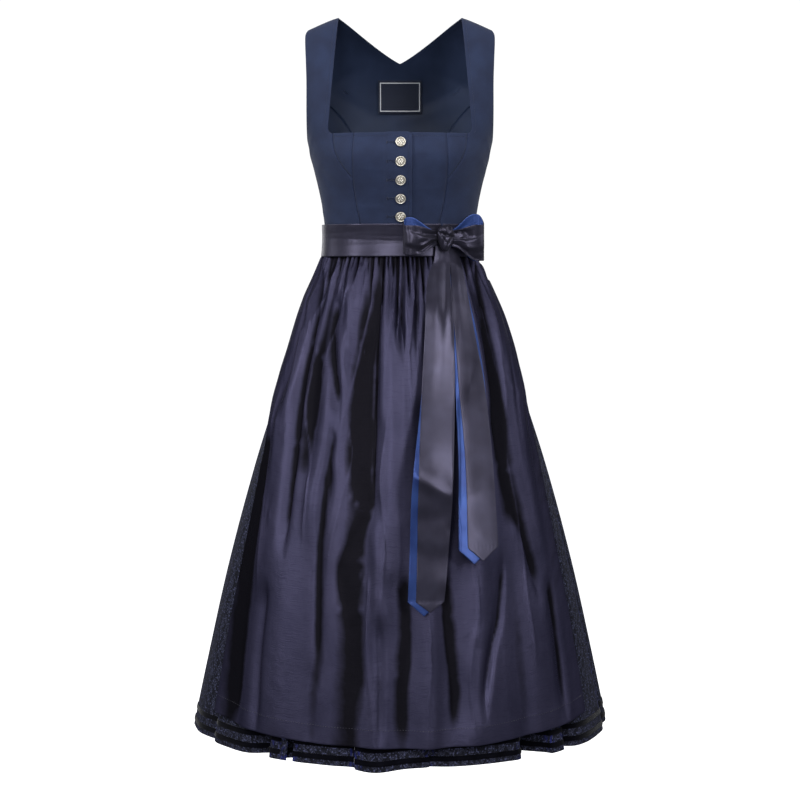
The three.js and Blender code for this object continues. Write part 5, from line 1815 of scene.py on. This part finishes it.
def loop_folds(word, along, up, opened):
    """Height of the folds on the loop's front."""
    total = np.zeros(np.broadcast(along, up).shape)
    for (from_x, from_y), (to_x, to_y), wide, high in LOOP_FOLDS[word]:
        run = (to_x - from_x, to_y - from_y)
        length = math.hypot(*run)
        x, y = opened - from_x, up - from_y
        share = (x * run[0] + y * run[1]) / length**2
        off = (y * run[0] - x * run[1]) / length
        total += high * bell(off, wide) * ease((share + 0.1) / 0.2) * ease((1.15 - share) / 0.3)
    return total * ease((along - 0.58) / 0.12)


def loop_surface(word, loop):
    """The surface of one loop: along its way out and back, and up its width from -1 to 1."""
    path = [(lerp(loop["start"], loop["long"], along), out) for along, out in LOOP_PATH]

    def place(along, up):
        spot = catmull(path, along)
        share = (spot[..., 0] - loop["start"]) / (loop["long"] - loop["start"])
        opened = ease(share * LOOP_OPENS)
        behind = 1 - ease((along - 0.35) / 0.3)
        turn = spot[..., 0] / loop["bend"]
        rise = KNOT["rise"] - loop["fall"] * opened + behind * loop["back"] * opened * 0.5
        rise = rise + up * lerp(loop["pinch"] + LOOP_AT_KNOT, loop["spread"], opened)
        near = 1 - opened
        pleats = 1.0 * np.sin(up * 7.5 + 0.8) * near * ease(opened * 6)
        pleats = pleats + 0.5 * np.sin(up * 4 + along * 9) * opened * near
        folds = loop_folds(word, along, up, share)
        out = spot[..., 1] - loop["bend"] * (1 - np.cos(turn)) + (pleats + folds)
        spots = KNOT_SPOT + (loop["way"] * loop["bend"] * np.sin(turn))[..., None] * ALONG
        spots = spots + out[..., None] * OUTWARD
        spots[..., 2] = rise
        return spots

    return place


# The blue satin lies inside the black.
LOOP_LAYERS = (("black", 0.0, BOW_SATIN_SHADED), ("blue", -RIBBON_WALL - 0.5, BLUE_SATIN))


def build_loops():
    for word, loop in LOOPS.items():
        place = loop_surface(word, loop)
        along = np.linspace(0.004, 0.996, 110)[None, :]
        up = (spaced(2 * loop["spread"], 36, THIN_EDGE) * 2 - 1)[:, None]
        along, up = along + 0 * up, up + 0 * along
        spots = place(along, up)
        normals = normal_of(place, along, up, 0.004, 0.02, -loop["way"])
        for color, lift, material in LOOP_LAYERS:
            name = f"bow_{word}_{color}"
            piece = wall(f"{name}_satin", spots, normals, lift, RIBBON_WALL, [material])
            finish_sheet(piece, [name])


tail_out = track(TAIL_OUT, "rise", "out")
# Long soft folds that all the tails share: distance across at the knot and at the foot, height, width.
TAIL_FOLDS = (
    (60, 44, 3.0, 6),
    (72, 62, -3.0, 6),
    (68, 54, 1.2, 3.5),
    (88, 112, 3.0, 7),
    (97, 134, -1.8, 6),
    (84, 98, -1.6, 5),
)
# Soft bends that run across the tails: height of the middle, half width, and how far out.
TAIL_BENDS = (
    (-480, 48, 6.0),
    (-640, 90, 3.0),
    (-712, 34, 4.0),
    (-800, 60, 1.5),
    (-868, 30, 3.0),
)
# Creases across the tails: both ends as across and height, half width, and how far out.
TAIL_CREASES = (
    ((26, -711), (80, -745), 11, 3.0),
    ((28, -772), (74, -768), 13, -1.0),
    ((30, -806), (70, -812), 15, 1.0),
    ((76, -746), (116, -742), 7, -0.9),
    ((76, -788), (116, -799), 8, -1.1),
)


SHORT_TAILS = {"across": 78, "soft": 14}  # the short pair hangs beyond this line
# How the short pair swings out: how far, from which height, and over how much of the drop.
SHORT_SWINGS = ((8, -735, 165), (20, -440, 380))
LONG_SWING = {"out": 25, "rise": -700, "above": 85, "below": 108}


def tail_wave(across, rise):
    """How far the tails swing, fold, bend and crease off the apron."""
    down = np.clip((rise + 380) / -500, 0, 1)
    wave = np.zeros(np.broadcast(across, rise).shape)
    for top, foot, high, wide in TAIL_FOLDS:
        strength = ease(down * 5 + 0.15) * lerp(1, 0.08, ease(down * 3.4))
        wave += high * bell(across - lerp(top, foot, down), wide * (1 + down)) * strength
    short = ease((across - SHORT_TAILS["across"]) / SHORT_TAILS["soft"])
    wave += short * sum(out * ease((start - rise) / drop) for out, start, drop in SHORT_SWINGS)
    reach = np.where(rise > LONG_SWING["rise"], LONG_SWING["above"], LONG_SWING["below"])
    wave += (1 - short) * LONG_SWING["out"] * bell(rise - LONG_SWING["rise"], reach)
    for (from_x, from_z), (to_x, to_z), wide, high in TAIL_CREASES:
        along = (across - from_x) / (to_x - from_x)
        reach = ease((along + 0.3) / 0.4) * ease((1.3 - along) / 0.6)
        wave += high * bell(rise - lerp(from_z, to_z, along), wide) * reach
    for middle, wide, out in TAIL_BENDS:
        wave += out * bell(rise + 0.22 * (across - 60) - middle, wide) * (1 - 0.6 * short)
    return wave


def tail_surface(layer):
    """The surface that one tail lies on, a layer nearer or further from the apron."""
    off = layer * (RIBBON_WALL + TAIL_GAP)

    def place(across, rise):
        out = tail_out(rise) + off + RIBBON_WALL + tail_wave(across, rise)
        angle = np.degrees(np.arcsin(across / (skirt["half"](rise) + out)))
        return on_reach(angle, rise, out)

    return place


TAIL_SATINS = {"blue": BLUE_SATIN, "black": BLACK_SATIN}
TAIL_WIDE = 44
END_STEP, END_PUCKER = 0.6, 0.08  # the turned-up end of a tail, and its small puckers


def build_tails():
    for name, (layer, point, rows) in TAILS.items():
        left_edge, right_edge = track(rows, "rise", "left"), track(rows, "rise", "right")
        top, foot = rows["rise"][0], rows["rise"][-1]
        place = tail_surface(layer)
        down = spaced(top - foot, 150, (0, 1, 2.2))[:, None]
        share = spaced(TAIL_WIDE, 34, THIN_EDGE)[None, :]
        nominal = lerp(top, foot, down) + 0 * share
        rise = nominal - point * down**4 * (1 - np.abs(2 * share - 1))
        across = lerp(left_edge(nominal), right_edge(nominal), share)
        normals = normal_of(place, across, rise, 0.5, 0.5, 1)
        color = name.split("_")[-1]
        pucker = END_PUCKER * np.sin(across * 1.1) * bell(rise - foot, 4)
        turned_up = END_STEP * ease((foot - rise) / 4) + pucker
        spots, satin_cloth = place(across, rise), TAIL_SATINS[color]
        piece = wall(f"{name}_satin", spots, normals, turned_up, RIBBON_WALL, [satin_cloth])
        finish_sheet(piece, [name])


# ---- studio ----
def softbox(name, place, aim, size, power):
    """A lit panel at a place, turned to its aim."""
    light = bpy.data.lights.new(name, "AREA")
    light.shape = "RECTANGLE"
    light.size, light.size_y = size
    light.energy = power
    lamp = bpy.data.objects.new(name, light)
    lamp.location = place
    away = np.array(place) - np.array(aim)
    away = away / np.linalg.norm(away)
    lamp.rotation_euler = (math.acos(away[2]), 0, math.atan2(away[1], away[0]) + math.pi / 2)
    bpy.context.scene.collection.objects.link(lamp)


LIT_SPOT = (0, 0, -0.6)
LIGHT_REACH = 3.4
AMBIENT = 0.18
BACKDROP = 1.05  # strength of the white that the camera sees
FLOOR_RISE, FLOOR_REACH = -1.75, 14.0
# The softboxes: degrees from the front towards the wearer's left, degrees up, size and power.
SOFTBOXES = (
    ("left side", -100, 25, (1.0, 2.6), 15),
    ("left front", -52, 28, (0.5, 2.6), 42),
    ("front", -10, 26, (0.6, 2.4), 40),
    ("right front", 35, 28, (0.5, 2.6), 40),
    ("right side", 88, 26, (0.8, 2.6), 17),
    ("back right", 150, 20, (1.0, 2.2), 12),
    ("back left", -150, 20, (1.0, 2.2), 12),
    ("top", 0, 85, (1.8, 1.8), 9),
)


def build_studio():
    for name, azimuth, elevation, size, power in SOFTBOXES:
        turn, lift = math.radians(azimuth), math.radians(elevation)
        away = (math.sin(turn) * math.cos(lift), -math.cos(turn) * math.cos(lift), math.sin(lift))
        place = tuple(LIT_SPOT[k] + LIGHT_REACH * away[k] for k in range(3))
        softbox(name, place, LIT_SPOT, size, power)
    world = bpy.data.worlds.new("studio")
    bpy.context.scene.world = world
    world.use_nodes = True
    nodes, links = world.node_tree.nodes, world.node_tree.links
    ray = nodes.new("ShaderNodeLightPath")
    shown = nodes.new("ShaderNodeBackground")
    shown.inputs["Color"].default_value = (1, 1, 1, 1)
    shown.inputs["Strength"].default_value = BACKDROP
    ambient = nodes["Background"]
    ambient.inputs["Color"].default_value = (0.86, 0.9, 1, 1)
    ambient.inputs["Strength"].default_value = AMBIENT
    mix = nodes.new("ShaderNodeMixShader")
    links.new(ray.outputs["Is Camera Ray"], mix.inputs["Fac"])
    links.new(ambient.outputs[0], mix.inputs[1])
    links.new(shown.outputs[0], mix.inputs[2])
    links.new(mix.outputs[0], nodes["World Output"].inputs["Surface"])
    mesh = bpy.data.meshes.new("floor")
    ways = ((-1, -1), (1, -1), (1, 1), (-1, 1))
    corners = [(x * FLOOR_REACH, y * FLOOR_REACH, FLOOR_RISE) for x, y in ways]
    mesh.from_pydata(corners, [], [(0, 1, 2, 3)])
    mesh.materials.append(studio_floor())
    floor = bpy.data.objects.new("floor", mesh)
    bpy.context.scene.collection.objects.link(floor)
    floor.visible_diffuse = False
    floor.visible_glossy = False
    bpy.context.scene.view_settings.view_transform = "Standard"


CAMERA = {"place": (0.0, -3.0, -0.391), "pitch": 4.27, "lens": 83.07, "sensor": 36.0}


def build_camera():
    data = bpy.data.cameras.new("camera")
    data.sensor_width = CAMERA["sensor"]
    data.lens = CAMERA["lens"]
    camera = bpy.data.objects.new("camera", data)
    camera.location = CAMERA["place"]
    camera.rotation_euler = (math.radians(90 - CAMERA["pitch"]), 0, 0)
    bpy.context.scene.collection.objects.link(camera)
    bpy.context.scene.camera = camera


build_camera()
build_bodice()
build_sash()
build_skirt()
build_apron()
build_knot()
build_loops()
build_tails()
build_studio()
